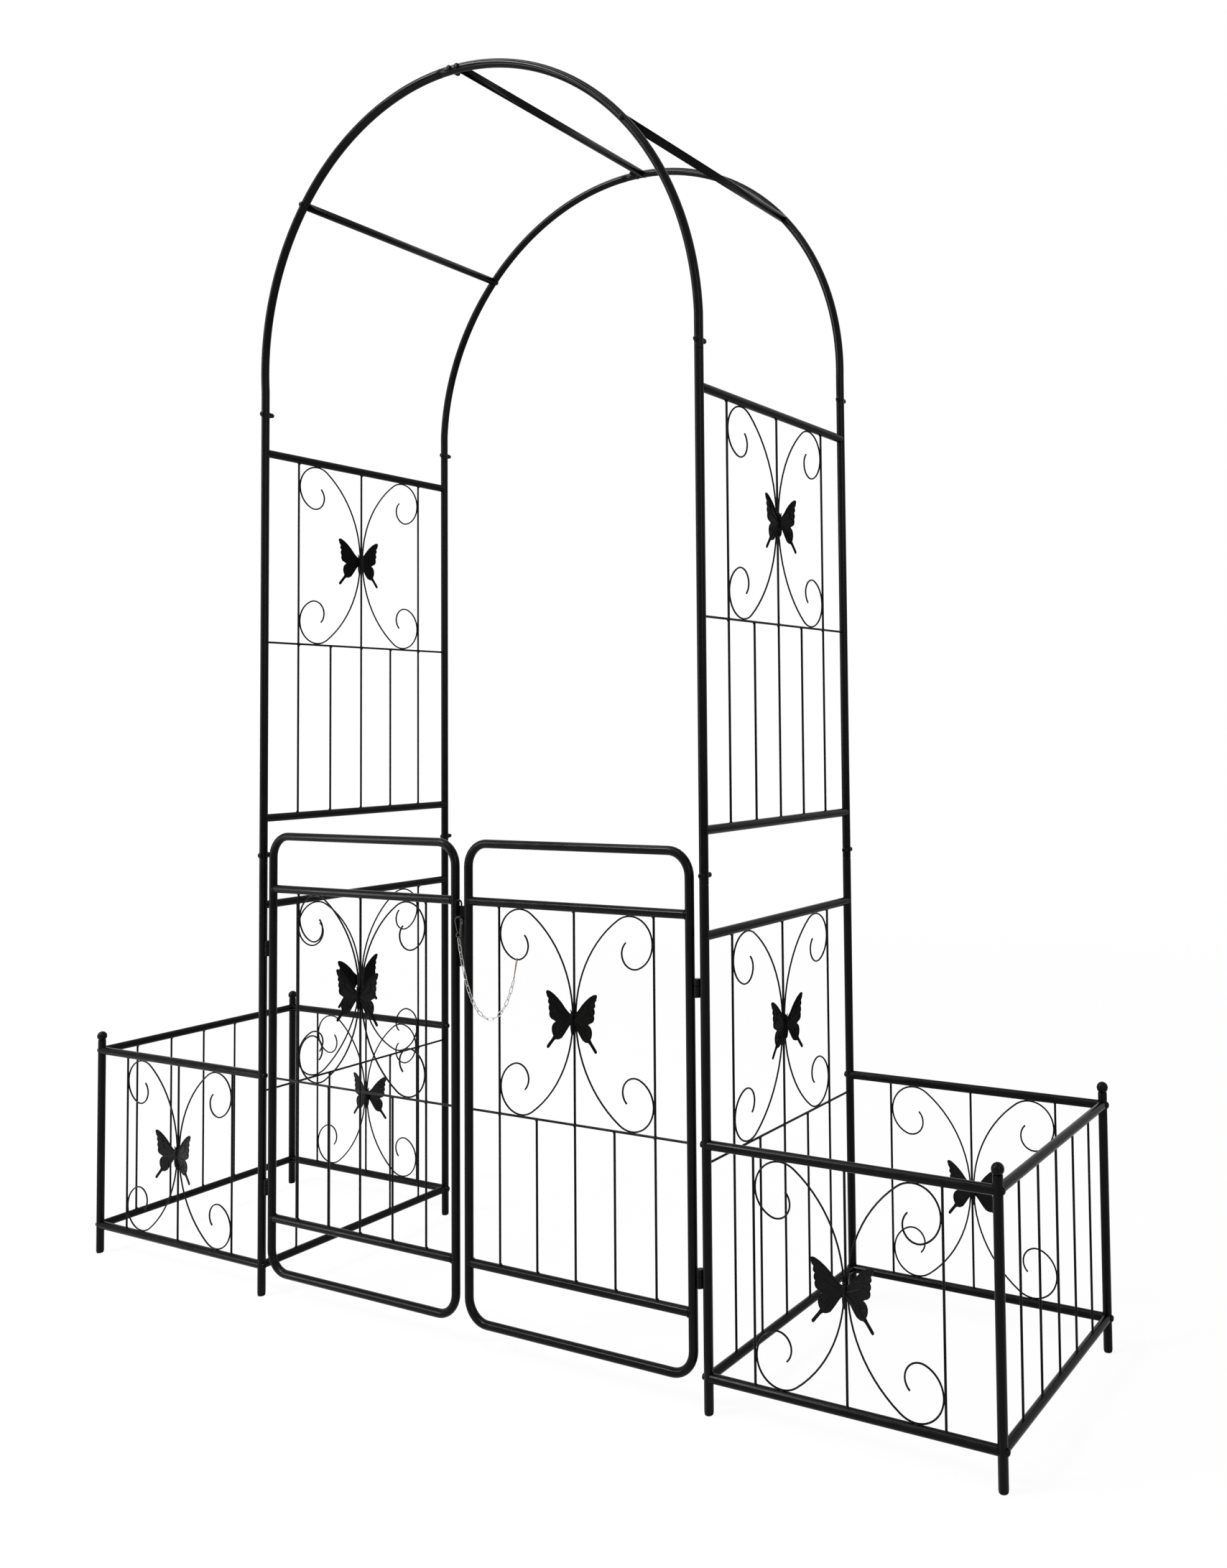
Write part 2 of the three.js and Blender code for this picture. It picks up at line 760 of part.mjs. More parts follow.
function place(name, geometry, material, parent, where, turn = 0) {
  const mesh = new THREE.Mesh(geometryOf(solidOf(geometry)), material);
  mesh.name = name;
  mesh.position.copy(where);
  mesh.rotation.z = radians(turn);
  parent.add(mesh);
  return mesh;
}

const sides = [
  { name: "left", x: -1 },
  { name: "right", x: 1 },
];
const faces = [
  { name: "front", y: -1 },
  { name: "back", y: 1 },
];

function buildArch() {
  for (const side of sides) {
    const inwards = side.x > 0 ? 180 : 0;
    for (const face of faces) {
      const foot = point(side.x * postX, face.y * postY, 0);
      const name = `${face.name}_${side.name}`;
      const quarter = side.x > 0 ? rightQuarter : leftQuarter;
      place(`lower_post_${name}`, lowerPost(inwards), paint, part, foot);
      place(`upper_post_${name}`, upperPost(), paint, part, foot);
      const hoop = leaned(quarter(face.y * 90), face.y);
      place(`hoop_${name}`, hoop, paint, part, point(0, foot.y, 0));
    }
  }
  place("crossbar_right", crossbar(crossbarAngle), paint, part, point(0, 0, 0));
  place("crossbar_left", mirrored(crossbar(crossbarAngle)), paint, part, point(0, 0, 0));
  place("crossbar_top", crossbar(topCrossbarAngle), paint, part, point(0, 0, 0));
}

function buildSidePanels() {
  const lower = sidePanel(footHeight, lowerTop, lowerScrollHeight, lowerRoom, true);
  const upper = sidePanel(upperBottom, upperTop, upperScrollHeight, upperRoom, false);
  for (const side of sides) {
    const turn = side.x * 90;
    const x = side.x * postX;
    place(`lower_panel_${side.name}`, lower, paint, part, point(x, 0, 0), turn);
    place(`upper_panel_${side.name}`, upper, paint, part, point(x, 0, 0), turn);
    const low = point(x, 0, lowerRoom.middle);
    const high = point(x, 0, upperRoom.middle);
    place(`butterfly_lower_${side.name}`, butterfly(), stamped, part, low, turn);
    place(`butterfly_upper_${side.name}`, butterfly(), stamped, part, high, turn);
  }
}

function buildPlanters() {
  for (const side of sides) {
    const middle = side.x * (postX + planterWidth / 2);
    const outer = side.x * outerX;
    for (const face of faces) {
      const name = `${face.name}_${side.name}`;
      const y = face.y * postY;
      const turn = face.y > 0 ? 180 : 0;
      place(`planter_post_${name}`, outerPost(side.x > 0 ? 0 : 180), paint, part, point(outer, y, 0));
      place(`finial_${name}`, finial(), paint, part, point(outer, y, outerPostTop));
      place(`planter_panel_${name}`, planterPanel(), paint, part, point(middle, y, 0));
      const centre = point(middle, y, planterRoom.middle);
      place(`butterfly_planter_${name}`, butterfly(), stamped, part, centre, turn);
    }
    place(`planter_side_${side.name}`, planterSide(), paint, part, point(outer, 0, 0), 90);
  }
}

// Each leaf is a group that stands on its hinge axis.
function buildGates() {
  const leaves = {};
  for (const side of sides) {
    const leaf = new THREE.Group();
    leaf.position.set(side.x * hingeX, -postY, 0);
    part.add(leaf);
    leaves[side.name] = leaf;
    const centre = point(side.x * (leafMiddle - hingeX), 0, 0);
    place(`gate_${side.name}`, gateLeaf(), paint, leaf, centre);
    const onLeaf = centre.clone().setZ(gateRoom.middle);
    place(`butterfly_gate_${side.name}`, butterfly(), stamped, leaf, onLeaf);
    for (const [level, foot] of Object.entries(hingeFeet)) {
      const name = `${level}_${side.name}`;
      const onPost = point(side.x * hingeX, -postY, foot);
      place(`hinge_pin_${name}`, hingePin(), paint, part, onPost);
      place(`hinge_barrel_${name}`, hingeBarrel(), paint, leaf, point(0, 0, foot));
    }
  }
  return leaves;
}

// Hangs a clip from a place on the left leaf, and gives the place where a link sits in its loop.
function hangClip(name, material, parent, hook, turn, sway) {
  const drop = Math.sqrt(clipLength ** 2 - sway.right ** 2 - sway.forward ** 2);
  const down = point(sway.right, -sway.forward, -drop).normalize();
  const clip = place(name, springClip(), material, parent, hook, turn);
  const lean = new THREE.Quaternion().setFromUnitVectors(point(0, 0, -1), down);
  clip.quaternion.premultiply(lean);
  const seat = clipWireRadius + linkWireDiameter / 2 + seatGap;
  return hook.clone().addScaledVector(down, clipLength - seat);
}

// The latch eye is on the left leaf, and the chain hangs from it to a curl of the right leaf.
function buildLatch(leaves) {
  const stile = hingeX - leafSpace / 2;
  const stripWidth = leafSpace - tubeDiameter - seatGap - stripGap;
  const stripX = stile - hingeX + leafSpace - tubeRadius - seatGap - stripWidth / 2;
  const stripZ = gateHighRail - stripDrop - stripHeight / 2;
  place("stop_strip", stopStrip(), paint, leaves.right, point(stripX - hingeX, 0, stripZ));

  const seat = tubeRadius + wireRadius + seatGap;
  const eyeX = stile + seat * Math.cos(radians(eyeSeatTurn)) + (eyeWidth - wireDiameter) / 2;
  const eyeY = -seat * Math.sin(radians(eyeSeatTurn));
  const eyeZ = gateHighRail - eyeDrop;
  const eye = ovalRing(eyeWidth, eyeHeight, wireDiameter, barSides, eyeEndSteps);
  place("latch_eye", eye, paint, leaves.left, point(eyeX, eyeY, eyeZ));

  const onWire = wireRadius + seatGap + clipWireRadius;
  const eyeFoot = eyeZ - (eyeHeight - wireDiameter) / 2;
  const leftHook = point(eyeX, eyeY, eyeFoot + onWire);
  const curl = curlEyeCentre(gateRoom.reach, gateRoom.rise);
  const curlX = leafMiddle - gateRoom.touch - curl.x;
  const halfFacet = radians((curlEyeEnd - curlEyeStart) / curlEyeSteps / 2);
  const curlFoot = gateRoom.middle + curl.z - curlEyeRadius * Math.cos(halfFacet);
  const rightHook = point(curlX + hingeX, 0, curlFoot + onWire);
  const from = hangClip("clip_left", zinc, leaves.left, leftHook, leftClipTurn, leftClipSway);
  const to = hangClip("clip_right", nickel, leaves.left, rightHook, rightClipTurn, rightClipSway);
  place("chain", chain(from, to), zinc, leaves.left, point(0, 0, 0));
}

buildArch();
buildSidePanels();
buildPlanters();
buildLatch(buildGates());

export default part;
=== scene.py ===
import math

import bpy
from mathutils import Matrix, Quaternion, Vector


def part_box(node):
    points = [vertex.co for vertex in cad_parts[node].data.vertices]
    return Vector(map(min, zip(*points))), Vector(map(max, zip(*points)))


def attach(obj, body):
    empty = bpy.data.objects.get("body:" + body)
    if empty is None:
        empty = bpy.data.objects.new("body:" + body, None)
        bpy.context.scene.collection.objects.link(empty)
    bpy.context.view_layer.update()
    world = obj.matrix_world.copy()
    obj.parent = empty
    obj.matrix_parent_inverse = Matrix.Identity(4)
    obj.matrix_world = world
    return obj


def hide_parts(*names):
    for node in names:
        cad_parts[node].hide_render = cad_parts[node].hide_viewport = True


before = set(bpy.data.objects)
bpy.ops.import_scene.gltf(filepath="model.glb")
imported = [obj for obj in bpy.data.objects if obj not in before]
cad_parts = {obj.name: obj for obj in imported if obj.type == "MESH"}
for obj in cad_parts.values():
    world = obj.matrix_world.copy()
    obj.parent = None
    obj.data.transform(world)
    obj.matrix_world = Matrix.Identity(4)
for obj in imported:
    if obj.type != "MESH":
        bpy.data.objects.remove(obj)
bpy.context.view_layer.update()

# Lower arch posts
# Four steel tubes, powder coated black. Each has a plastic plug in its foot and a necked top that the
# upper post drops over. Domed screws through the post hold the rails of the planter box beside it.
post_x = 0.5
post_y = 0.24
tube = 0.0075
neck = 0.006
edge_drop = 0.0005
edge_cut = 0.0004
neck_cut = 0.0006
round_sides = 24
lower_seam = 0.806
sleeve = 0.0447
rail_low = 0.056
planter_top = 0.4075
screw_radius = 0.0053
screw_rise = 0.003
screw_socket = 0.0011
screw_sides = 16
smooth_angle = 35


def begin(name):
    bpy.ops.object.select_all(action="DESELECT")
    bpy.ops.object.add(type="MESH", enter_editmode=True, location=(0, 0, 0))
    piece = bpy.context.active_object
    piece.name = name
    return piece


# Each ring of the profile is a radius and a height along the axis.
def build_up(profile, sides=round_sides, base=(0, 0, 0), axis=(0, 0, 1)):
    base = Vector(base)
    axis = Vector(axis)
    radius, height = profile[0]
    facing = axis.to_track_quat("Z", "Y").to_euler()
    bpy.ops.mesh.primitive_circle_add(
        vertices=sides, radius=radius, fill_type="NGON", location=base + axis * height, rotation=facing
    )
    for next_radius, next_height in profile[1:]:
        move = axis * (next_height - height)
        bpy.ops.mesh.extrude_region_move(TRANSFORM_OT_translate={"value": move})
        if next_radius == 0:
            bpy.ops.mesh.merge(type="CENTER")
            break
        size = next_radius / radius
        middle = base + axis * next_height
        bpy.ops.transform.resize(value=(size, size, size), center_override=middle)
        radius, height = next_radius, next_height


# A dome with a socket: each ring is a share of the head's radius and a height over the tube.
def screw_head(base, axis):
    dome = [(1, -0.004), (1, 0.0010), (0.92, 0.0018), (0.72, 0.0026)]
    dome += [(0.45, screw_rise), (0.34, screw_rise), (0.30, screw_rise - screw_socket)]
    build_up([(share * screw_radius, tube + rise) for share, rise in dome], screw_sides, base, axis)


def end(smooth=smooth_angle):
    bpy.ops.mesh.select_all(action="SELECT")
    bpy.ops.mesh.normals_make_consistent(inside=False)
    bpy.ops.object.mode_set(mode="OBJECT")
    bpy.ops.object.shade_smooth_by_angle(angle=math.radians(smooth))


def select_only(*pieces):
    bpy.ops.object.select_all(action="DESELECT")
    for piece in pieces:
        piece.select_set(True)
    bpy.context.view_layer.objects.active = pieces[0]


def copy_to(pattern, name, place, turn=0, mirror=False):
    select_only(pattern)
    bpy.ops.object.duplicate()
    piece = bpy.context.active_object
    piece.name = name
    piece.location = place
    piece.rotation_euler.z = math.radians(turn)
    if mirror:
        piece.scale.x = -1
    bpy.ops.object.transform_apply(location=True, rotation=True, scale=True)
    if mirror:
        bpy.ops.object.mode_set(mode="EDIT")
        bpy.ops.mesh.select_all(action="SELECT")
        bpy.ops.mesh.normals_make_consistent(inside=False)
        bpy.ops.object.mode_set(mode="OBJECT")
    return piece


def scrap(*patterns):
    for pattern in patterns:
        bpy.data.objects.remove(pattern)


# A material whose colour and gloss drift together, by one noise.
def clouded(name, scale, detail, stops, colours, drift_stops, rough):
    material = bpy.data.materials.new(name)
    material.use_nodes = True
    nodes = material.node_tree.nodes
    wires = material.node_tree.links
    shader = nodes["Principled BSDF"]
    where = nodes.new("ShaderNodeTexCoord")
    cloud = nodes.new("ShaderNodeTexNoise")
    cloud.inputs["Scale"].default_value = scale
    cloud.inputs["Detail"].default_value = detail
    wires.new(where.outputs["Object"], cloud.inputs["Vector"])
    shade = nodes.new("ShaderNodeValToRGB")
    for stop, position, colour in zip(shade.color_ramp.elements, stops, colours):
        stop.position = position
        stop.color = (*colour, 1)
    wires.new(cloud.outputs["Fac"], shade.inputs["Fac"])
    wires.new(shade.outputs["Color"], shader.inputs["Base Color"])
    drift = nodes.new("ShaderNodeMapRange")
    for socket, value in zip(("From Min", "From Max", "To Min", "To Max"), (*drift_stops, *rough)):
        drift.inputs[socket].default_value = value
    wires.new(cloud.outputs["Fac"], drift.inputs["Value"])
    wires.new(drift.outputs["Result"], shader.inputs["Roughness"])
    return material


# Satin powder coat: nearly black, with a fine orange peel and a slow drift in gloss.
coat_black = ((0.0020, 0.0019, 0.0018), (0.0034, 0.0032, 0.0030))
coat_stops = (0.35, 0.68)
coat_scale = 38
peel_scale = 900
peel_depth = 0.0002


def coat(name, colours, rough, peel, shine):
    material = clouded(name, coat_scale, 4, coat_stops, colours, coat_stops, rough)
    nodes = material.node_tree.nodes
    wires = material.node_tree.links
    shader = nodes["Principled BSDF"]
    shader.inputs["Specular IOR Level"].default_value = shine
    where = nodes.new("ShaderNodeTexCoord")
    grain = nodes.new("ShaderNodeTexNoise")
    grain.inputs["Scale"].default_value = peel_scale
    grain.inputs["Detail"].default_value = 2
    wires.new(where.outputs["Object"], grain.inputs["Vector"])
    bump = nodes.new("ShaderNodeBump")
    bump.inputs["Strength"].default_value = peel
    bump.inputs["Distance"].default_value = peel_depth
    wires.new(grain.outputs["Fac"], bump.inputs["Height"])
    wires.new(bump.outputs["Normal"], shader.inputs["Normal"])
    return material


powder_coat = coat("powder_coat", coat_black, rough=(0.15, 0.25), peel=0.15, shine=0.065)


def dress(piece, material, slot, body, *nodes):
    piece.data.materials.clear()
    piece.data.materials.append(material)
    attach(piece, body)
    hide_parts(*nodes)


# The plug swells towards the tube, whose foot stands on it.
foot_plug = [
    (0.0048, 0),
    (0.0062, 0.0004),
    (0.0070, 0.0016),
    (0.0072, 0.0036),
    (0.0069, 0.0040),
    (tube - 0.0003, 0.0042),
    (tube, 0.0048),
]
begin("lower_tube")
build_up(
    foot_plug
    + [
        (tube, lower_seam - edge_drop),
        (tube - edge_cut, lower_seam),
        (neck, lower_seam),
        (neck, lower_seam + sleeve),
        (neck - neck_cut, lower_seam + sleeve),
    ]
)
screw_head((0, 0, rail_low), (1, 0, 0))
screw_head((0, 0, planter_top), (1, 0, 0))
end()
lower_tube = bpy.context.active_object
sides = (("left", -1), ("right", 1))
faces = (("front", -1), ("back", 1))
for side, sx in sides:
    for face, sy in faces:
        foot = (sx * post_x, sy * post_y, 0)
        post = copy_to(lower_tube, f"lower_tube_{face}_{side}", foot, 180 if sx > 0 else 0)
        dress(post, powder_coat, "paint", "arch", f"lower_post_{face}_{side}")
scrap(lower_tube)

# Lower side grilles
# Two tube rails with fish-mouth ends, five round bars, a thin level bar and a pair of scrolls bent
# from wire, all welded, with the beads of the welds left round under the coat.
bar = 0.002
wire = 0.0015
seat = 0.0003
rod_sides = 12
wire_sides = 8
weld_sink = 0.0005
weld_grip = 0.0002
bead_shift = 0.0004
foot_bead = (0.0020, 0.0018, 0.0020)
level_bead = (0.0016, 0.0016, 0.0020)
top_bead = (0.0044, 0.0023, 0.0018)
side_bead = (0.0015, 0.0021, 0.0042)
foot_ring = 0.0007
level_ring = 0.0005
cutter_reach = 0.02
cutter_sides = 32
bar_pitch = 0.08
curl_radius = 0.043
eye_radius = 0.024
eye_start = 69
eye_end = 228
eye_steps = 14
curl_steps = 24
bow_steps = 26
lower_rails = (0.056, 0.727)
lower_level = 0.378


# Draws a rod out of a disc in the XZ plane. A run is a length, or degrees of turn, a radius and steps.
def bent_rod(radius, corners, start, heading, runs, depth=0.0):
    x, z = start
    angle = math.radians(heading)
    lean = math.atan2(math.cos(angle), math.sin(angle))
    bpy.ops.mesh.primitive_circle_add(
        vertices=corners, radius=radius, fill_type="NGON", location=(x, depth, z), rotation=(0, lean, 0)
    )
    for run in runs:
        if len(run) == 1:
            step = Vector((run[0] * math.cos(angle), 0, run[0] * math.sin(angle)))
            bpy.ops.mesh.extrude_region_move(TRANSFORM_OT_translate={"value": step})
            x += step.x
            z += step.z
            continue
        turn, bend, steps = run
        hand = math.copysign(1, turn)
        middle_x = x - hand * bend * math.sin(angle)
        middle_z = z + hand * bend * math.cos(angle)
        swing = math.radians(turn)
        bpy.ops.mesh.spin(steps=steps, angle=swing, center=(middle_x, depth, middle_z), axis=(0, 1, 0))
        angle += swing
        x = middle_x + hand * bend * math.sin(angle)
        z = middle_z - hand * bend * math.cos(angle)


# An eye, a curl, a wide bow past the middle bar, and the same curl and eye again, in one run of wire.
def scroll(reach, rise, offset, middle, hand):
    x = reach - curl_radius
    z = rise - curl_radius
    bow = (x * x + z * z - curl_radius**2) / (2 * (x - curl_radius))
    bow_turn = math.degrees(math.atan2(z, bow - x))
    slip = curl_radius - eye_radius
    eye_x = x + slip * math.cos(math.radians(eye_start))
    eye_z = z - slip * math.sin(math.radians(eye_start))
    tip = math.radians(-eye_end)
    start_x = offset + eye_x + eye_radius * math.cos(tip)
    start_z = middle + eye_z + eye_radius * math.sin(tip)
    heading = 90 - eye_end
    eye = (eye_end - eye_start, eye_radius, eye_steps)
    curl = (180 - bow_turn + eye_start, curl_radius, curl_steps)
    runs = [eye, curl, (2 * bow_turn, bow, bow_steps), curl, eye]
    if hand < 0:
        start_x = -start_x
        heading = 180 - heading
        runs = [(-turn, bend, steps) for turn, bend, steps in runs]
    bent_rod(wire, wire_sides, (start_x, start_z), heading, runs)


def weld_ring(x, z, axis="Z", around=bar, thick=foot_ring):
    tilt = {"Z": (0, 0, 0), "X": (0, math.pi / 2, 0)}[axis]
    bpy.ops.mesh.primitive_torus_add(
        location=(x, 0, z),
        rotation=tilt,
        major_segments=10,
        minor_segments=5,
        major_radius=around + weld_grip,
        minor_radius=thick,
    )


def weld_blob(x, y, z, size):
    bpy.ops.mesh.primitive_uv_sphere_add(
        segments=8, ring_count=6, radius=1, location=(x, y, z), scale=size
    )


def straight_bar(x, low, high):
    build_up([(bar, low), (bar, high)], rod_sides, (x, 0, 0))


# Two scrolls fill the room between two level members, and are welded where they touch.
def scroll_pair(low, high, pitch):
    touch = bar + wire - weld_sink
    rise = (high - low) / 2 - wire + weld_sink
    reach = 2 * pitch - 2 * touch
    middle = (low + high) / 2
    for hand in (-1, 1):
        scroll(reach, rise, touch, middle, hand)
        top_x = hand * (touch + reach - curl_radius)
        side_x = hand * (touch + reach + wire - weld_grip)
        for up in (-1, 1):
            weld_blob(top_x, 0, middle + up * (rise + wire), top_bead)
            weld_blob(side_x, 0, middle + up * (rise - curl_radius), side_bead)


# Five bars: the odd ones run from rail to rail, the others end at the level bar.
def grille(low, high, level, pitch):
    start = -2 * pitch
    for i in range(5):
        x = start + i * pitch
        top = high if i % 2 == 0 else level
        straight_bar(x, low, top)
        weld_ring(x, low + tube - weld_grip)
        weld_blob(x + bar, bead_shift, low + tube + bead_shift, foot_bead)
        weld_blob(x - bar, bead_shift, level - bar - bead_shift, level_bead)
        if i % 2 == 0:
            weld_blob(x - bar, bead_shift, high - tube - bead_shift, foot_bead)
            weld_ring(x, high - tube + weld_grip)
            weld_ring(x, level + bar, thick=level_ring)
        weld_ring(x, level - bar, thick=level_ring)


def hollow_out(rail, place, axis):
    begin("cutter")
    build_up([(tube + seat, -cutter_reach), (tube + seat, cutter_reach)], cutter_sides, place, axis)
    end()
    cutter = bpy.context.active_object
    select_only(rail)
    bpy.ops.object.modifier_add(type="BOOLEAN")
    cut = rail.modifiers[-1]
    cut.object = cutter
    cut.operation = "DIFFERENCE"
    bpy.ops.object.modifier_apply(modifier=cut.name)
    scrap(cutter)


# A tube laid along X, its ends hollowed by the tubes it is fitted to.
def coped_rail(name, half_span, z, crossed):
    begin(name)
    build_up([(tube, -half_span), (tube, half_span)], round_sides, (0, 0, z), (1, 0, 0))
    end()
    rail = bpy.context.active_object
    for sx in (-1, 1):
        hollow_out(rail, (sx * half_span, 0, z), (0, 0, 1))
        if crossed:
            hollow_out(rail, (sx * half_span, 0, z), (0, 1, 0))
    return rail


def welded(name, *pieces):
    select_only(*pieces)
    bpy.ops.object.join()
    piece = bpy.context.active_object
    piece.name = name
    bpy.ops.object.shade_smooth_by_angle(angle=math.radians(smooth_angle))
    return piece


def side_grille(rails, level, crossed):
    reach = post_y - tube - seat
    bars = begin("bars")
    grille(*rails, level, bar_pitch)
    build_up([(bar, -reach), (bar, reach)], rod_sides, (0, 0, level), (1, 0, 0))
    scroll_pair(level + bar, rails[1] - tube, bar_pitch)
    end()
    low_rail = coped_rail("low_rail", post_y, rails[0], crossed)
    high_rail = coped_rail("high_rail", post_y, rails[1], False)
    return welded("grille", low_rail, high_rail, bars)


lower_grille = side_grille(lower_rails, lower_level, True)
for side, sx in sides:
    panel = copy_to(lower_grille, f"lower_grille_{side}", (sx * post_x, 0, 0), sx * 90)
    dress(panel, powder_coat, "paint", "arch", f"lower_panel_{side}")
scrap(lower_grille)

# Planter boxes
# An open frame on each side of the arch: two outer posts, a grille to the front and one to the back,
# and a plain row of bars on the outer side. The rails saddle the posts and are screwed through them.
outer_x = 0.98
outer_top = 0.427
planter_width = 0.48
planter_pitch = 0.078
box_bead = (0.0026, 0.0024, 0.0021)
box_bead_back = 0.0006

begin("outer_tube")
build_up(foot_plug + [(tube, outer_top - edge_cut), (tube - edge_cut, outer_top), (neck, outer_top)])
screw_head((0, 0, rail_low), (1, 0, 0))
screw_head((0, 0, planter_top), (1, 0, 0))
end()
outer_tube = bpy.context.active_object
begin("box_bars")
for step in (-2, 0, 2):
    straight_bar(step * planter_pitch, rail_low, planter_top)
    weld_ring(step * planter_pitch, rail_low + tube - weld_grip)
    weld_ring(step * planter_pitch, planter_top - tube + weld_grip)
scroll_pair(rail_low + tube, planter_top - tube, planter_pitch)
end()
box_bars = bpy.context.active_object
box_rails = [coped_rail("box_rail", planter_width / 2, z, False) for z in (rail_low, planter_top)]
box_grille = welded("box_grille", *box_rails, box_bars)
begin("side_bars")
for step in (-2, -1, 0, 1, 2):
    straight_bar(step * bar_pitch, rail_low, planter_top)
    weld_ring(step * bar_pitch, rail_low + tube - weld_grip)
    weld_ring(step * bar_pitch, planter_top - tube + weld_grip)
    for bead in (rail_low + tube + weld_grip, planter_top - tube - weld_grip):
        weld_blob(step * bar_pitch + bar, box_bead_back, bead, box_bead)
end()
side_bars = bpy.context.active_object
side_rails = [coped_rail("side_rail", post_y, z, True) for z in (rail_low, planter_top)]
box_side = welded("box_side", *side_rails, side_bars)
for side, sx in sides:
    for face, sy in faces:
        place = (sx * outer_x, sy * post_y, 0)
        post = copy_to(outer_tube, f"outer_tube_{face}_{side}", place, 0 if sx > 0 else 180)
        dress(post, powder_coat, "paint", "arch", f"planter_post_{face}_{side}")
        middle = (sx * (post_x + planter_width / 2), sy * post_y, 0)
        panel = copy_to(box_grille, f"box_grille_{face}_{side}", middle, 180 if sy > 0 else 0)
        dress(panel, powder_coat, "paint", "arch", f"planter_panel_{face}_{side}")
    panel = copy_to(box_side, f"box_side_{side}", (sx * outer_x, 0, 0), 90)
    dress(panel, powder_coat, "paint", "arch", f"planter_side_{side}")
scrap(outer_tube, box_grille, box_side)

# Finials
# A ball on a thin collar, moulded in one with the stem that is pressed into the top of the post.
ball_radius = 0.0095
waist = 0.0055
collar = 0.0015
collar_cut = 0.0003
stem_foot = -0.0140
stem_full = -0.0130
rings = 14
round_angle = 50
begin("finial")
ball_middle = seat + collar + math.sqrt(ball_radius**2 - waist**2)
profile = [(neck - edge_drop, stem_foot), (neck, stem_full), (neck, seat), (tube - collar_cut, seat)]
profile += [(tube, seat + edge_cut), (tube, seat + collar - edge_cut), (tube - edge_cut, seat + collar)]
lowest = math.asin(waist / ball_radius)
for ring in range(rings + 1):
    angle = lowest + (math.pi - lowest) * ring / rings
    out = 0 if ring == rings else ball_radius * math.sin(angle)
    profile.append((out, ball_middle - ball_radius * math.cos(angle)))
build_up(profile)
end(round_angle)
finial = bpy.context.active_object
for side, sx in sides:
    for face, sy in faces:
        ball = copy_to(finial, f"ball_{face}_{side}", (sx * outer_x, sy * post_y, outer_top))
        dress(ball, powder_coat, "paint", "arch", f"finial_{face}_{side}")
scrap(finial)

# Upper arch posts
# Each drops over the neck of the lower post. A domed screw through the joint, with a cap nut behind,
# holds it.
hoop_seam = 1.652
screw_above_seam = 0.015
nut_radius = 0.0055
nut_dome = 0.0046


# A cap nut is a hexagon with a dome over the end of the screw.
def nut(base, axis):
    hexagon = [(nut_radius, -0.003), (nut_radius, 0.0040), (nut_radius * 0.88, 0.0046)]
    dome = [(nut_dome, 0), (nut_dome, 0.0070), (0.0042, 0.0088), (0.0033, 0.0103), (0.0020, 0.0112)]
    dome.append((0.0008, 0.0115))
    for profile, corners in ((hexagon, 6), (dome, screw_sides)):
        build_up([(radius, tube + rise) for radius, rise in profile], corners, base, axis)


begin("upper_tube")
build_up(
    [
        (neck, lower_seam + seat),
        (tube - edge_cut, lower_seam + seat),
        (tube, lower_seam + seat + edge_drop),
        (tube, hoop_seam - edge_drop),
        (tube - edge_cut, hoop_seam),
        (neck, hoop_seam),
        (neck, hoop_seam + sleeve),
    ]
)
screw_head((0, 0, lower_seam + screw_above_seam), (0, -1, 0))
nut((0, 0, lower_seam + screw_above_seam), (0, 1, 0))
end()
upper_tube = bpy.context.active_object
for side, sx in sides:
    for face, sy in faces:
        post = copy_to(upper_tube, f"upper_tube_{face}_{side}", (sx * post_x, sy * post_y, 0))
        dress(post, powder_coat, "paint", "arch", f"upper_post_{face}_{side}")
scrap(upper_tube)

# Upper side grilles
# Made as the lower ones, between the sleeve joint and the foot of the hoop.
upper_rails = (0.891, 1.592)
upper_level = 1.227
upper_grille = side_grille(upper_rails, upper_level, False)
for side, sx in sides:
    panel = copy_to(upper_grille, f"upper_grille_{side}", (sx * post_x, 0, 0), sx * 90)
    dress(panel, powder_coat, "paint", "arch", f"upper_panel_{side}")
scrap(upper_grille)

# Hoops
# Two quarter bends make each hoop. They meet left of the middle, held by a screw with a cap nut. The
# front and back hoops lean apart towards the crown, and domed screws hold the crossbars.
spring_line = 1.71
hoop_lean = 0.03
crown_seam = 0.015
hoop_steps = 48
joint_gap_turn = 0.035
crown_screw_back = 0.023
lining = 0.001
lining_rise = 0.0006
crossbar_angle = 42
top_bar_x = 0.026
top_bar_angle = math.degrees(math.acos(top_bar_x / post_x))
seam_turn = math.degrees(crown_seam / post_x)


def lean_at(height):
    return hoop_lean * max(0, height - spring_line) / post_x


def on_hoop(angle):
    turn = math.radians(angle)
    return post_x * math.cos(turn), 0, spring_line + post_x * math.sin(turn)


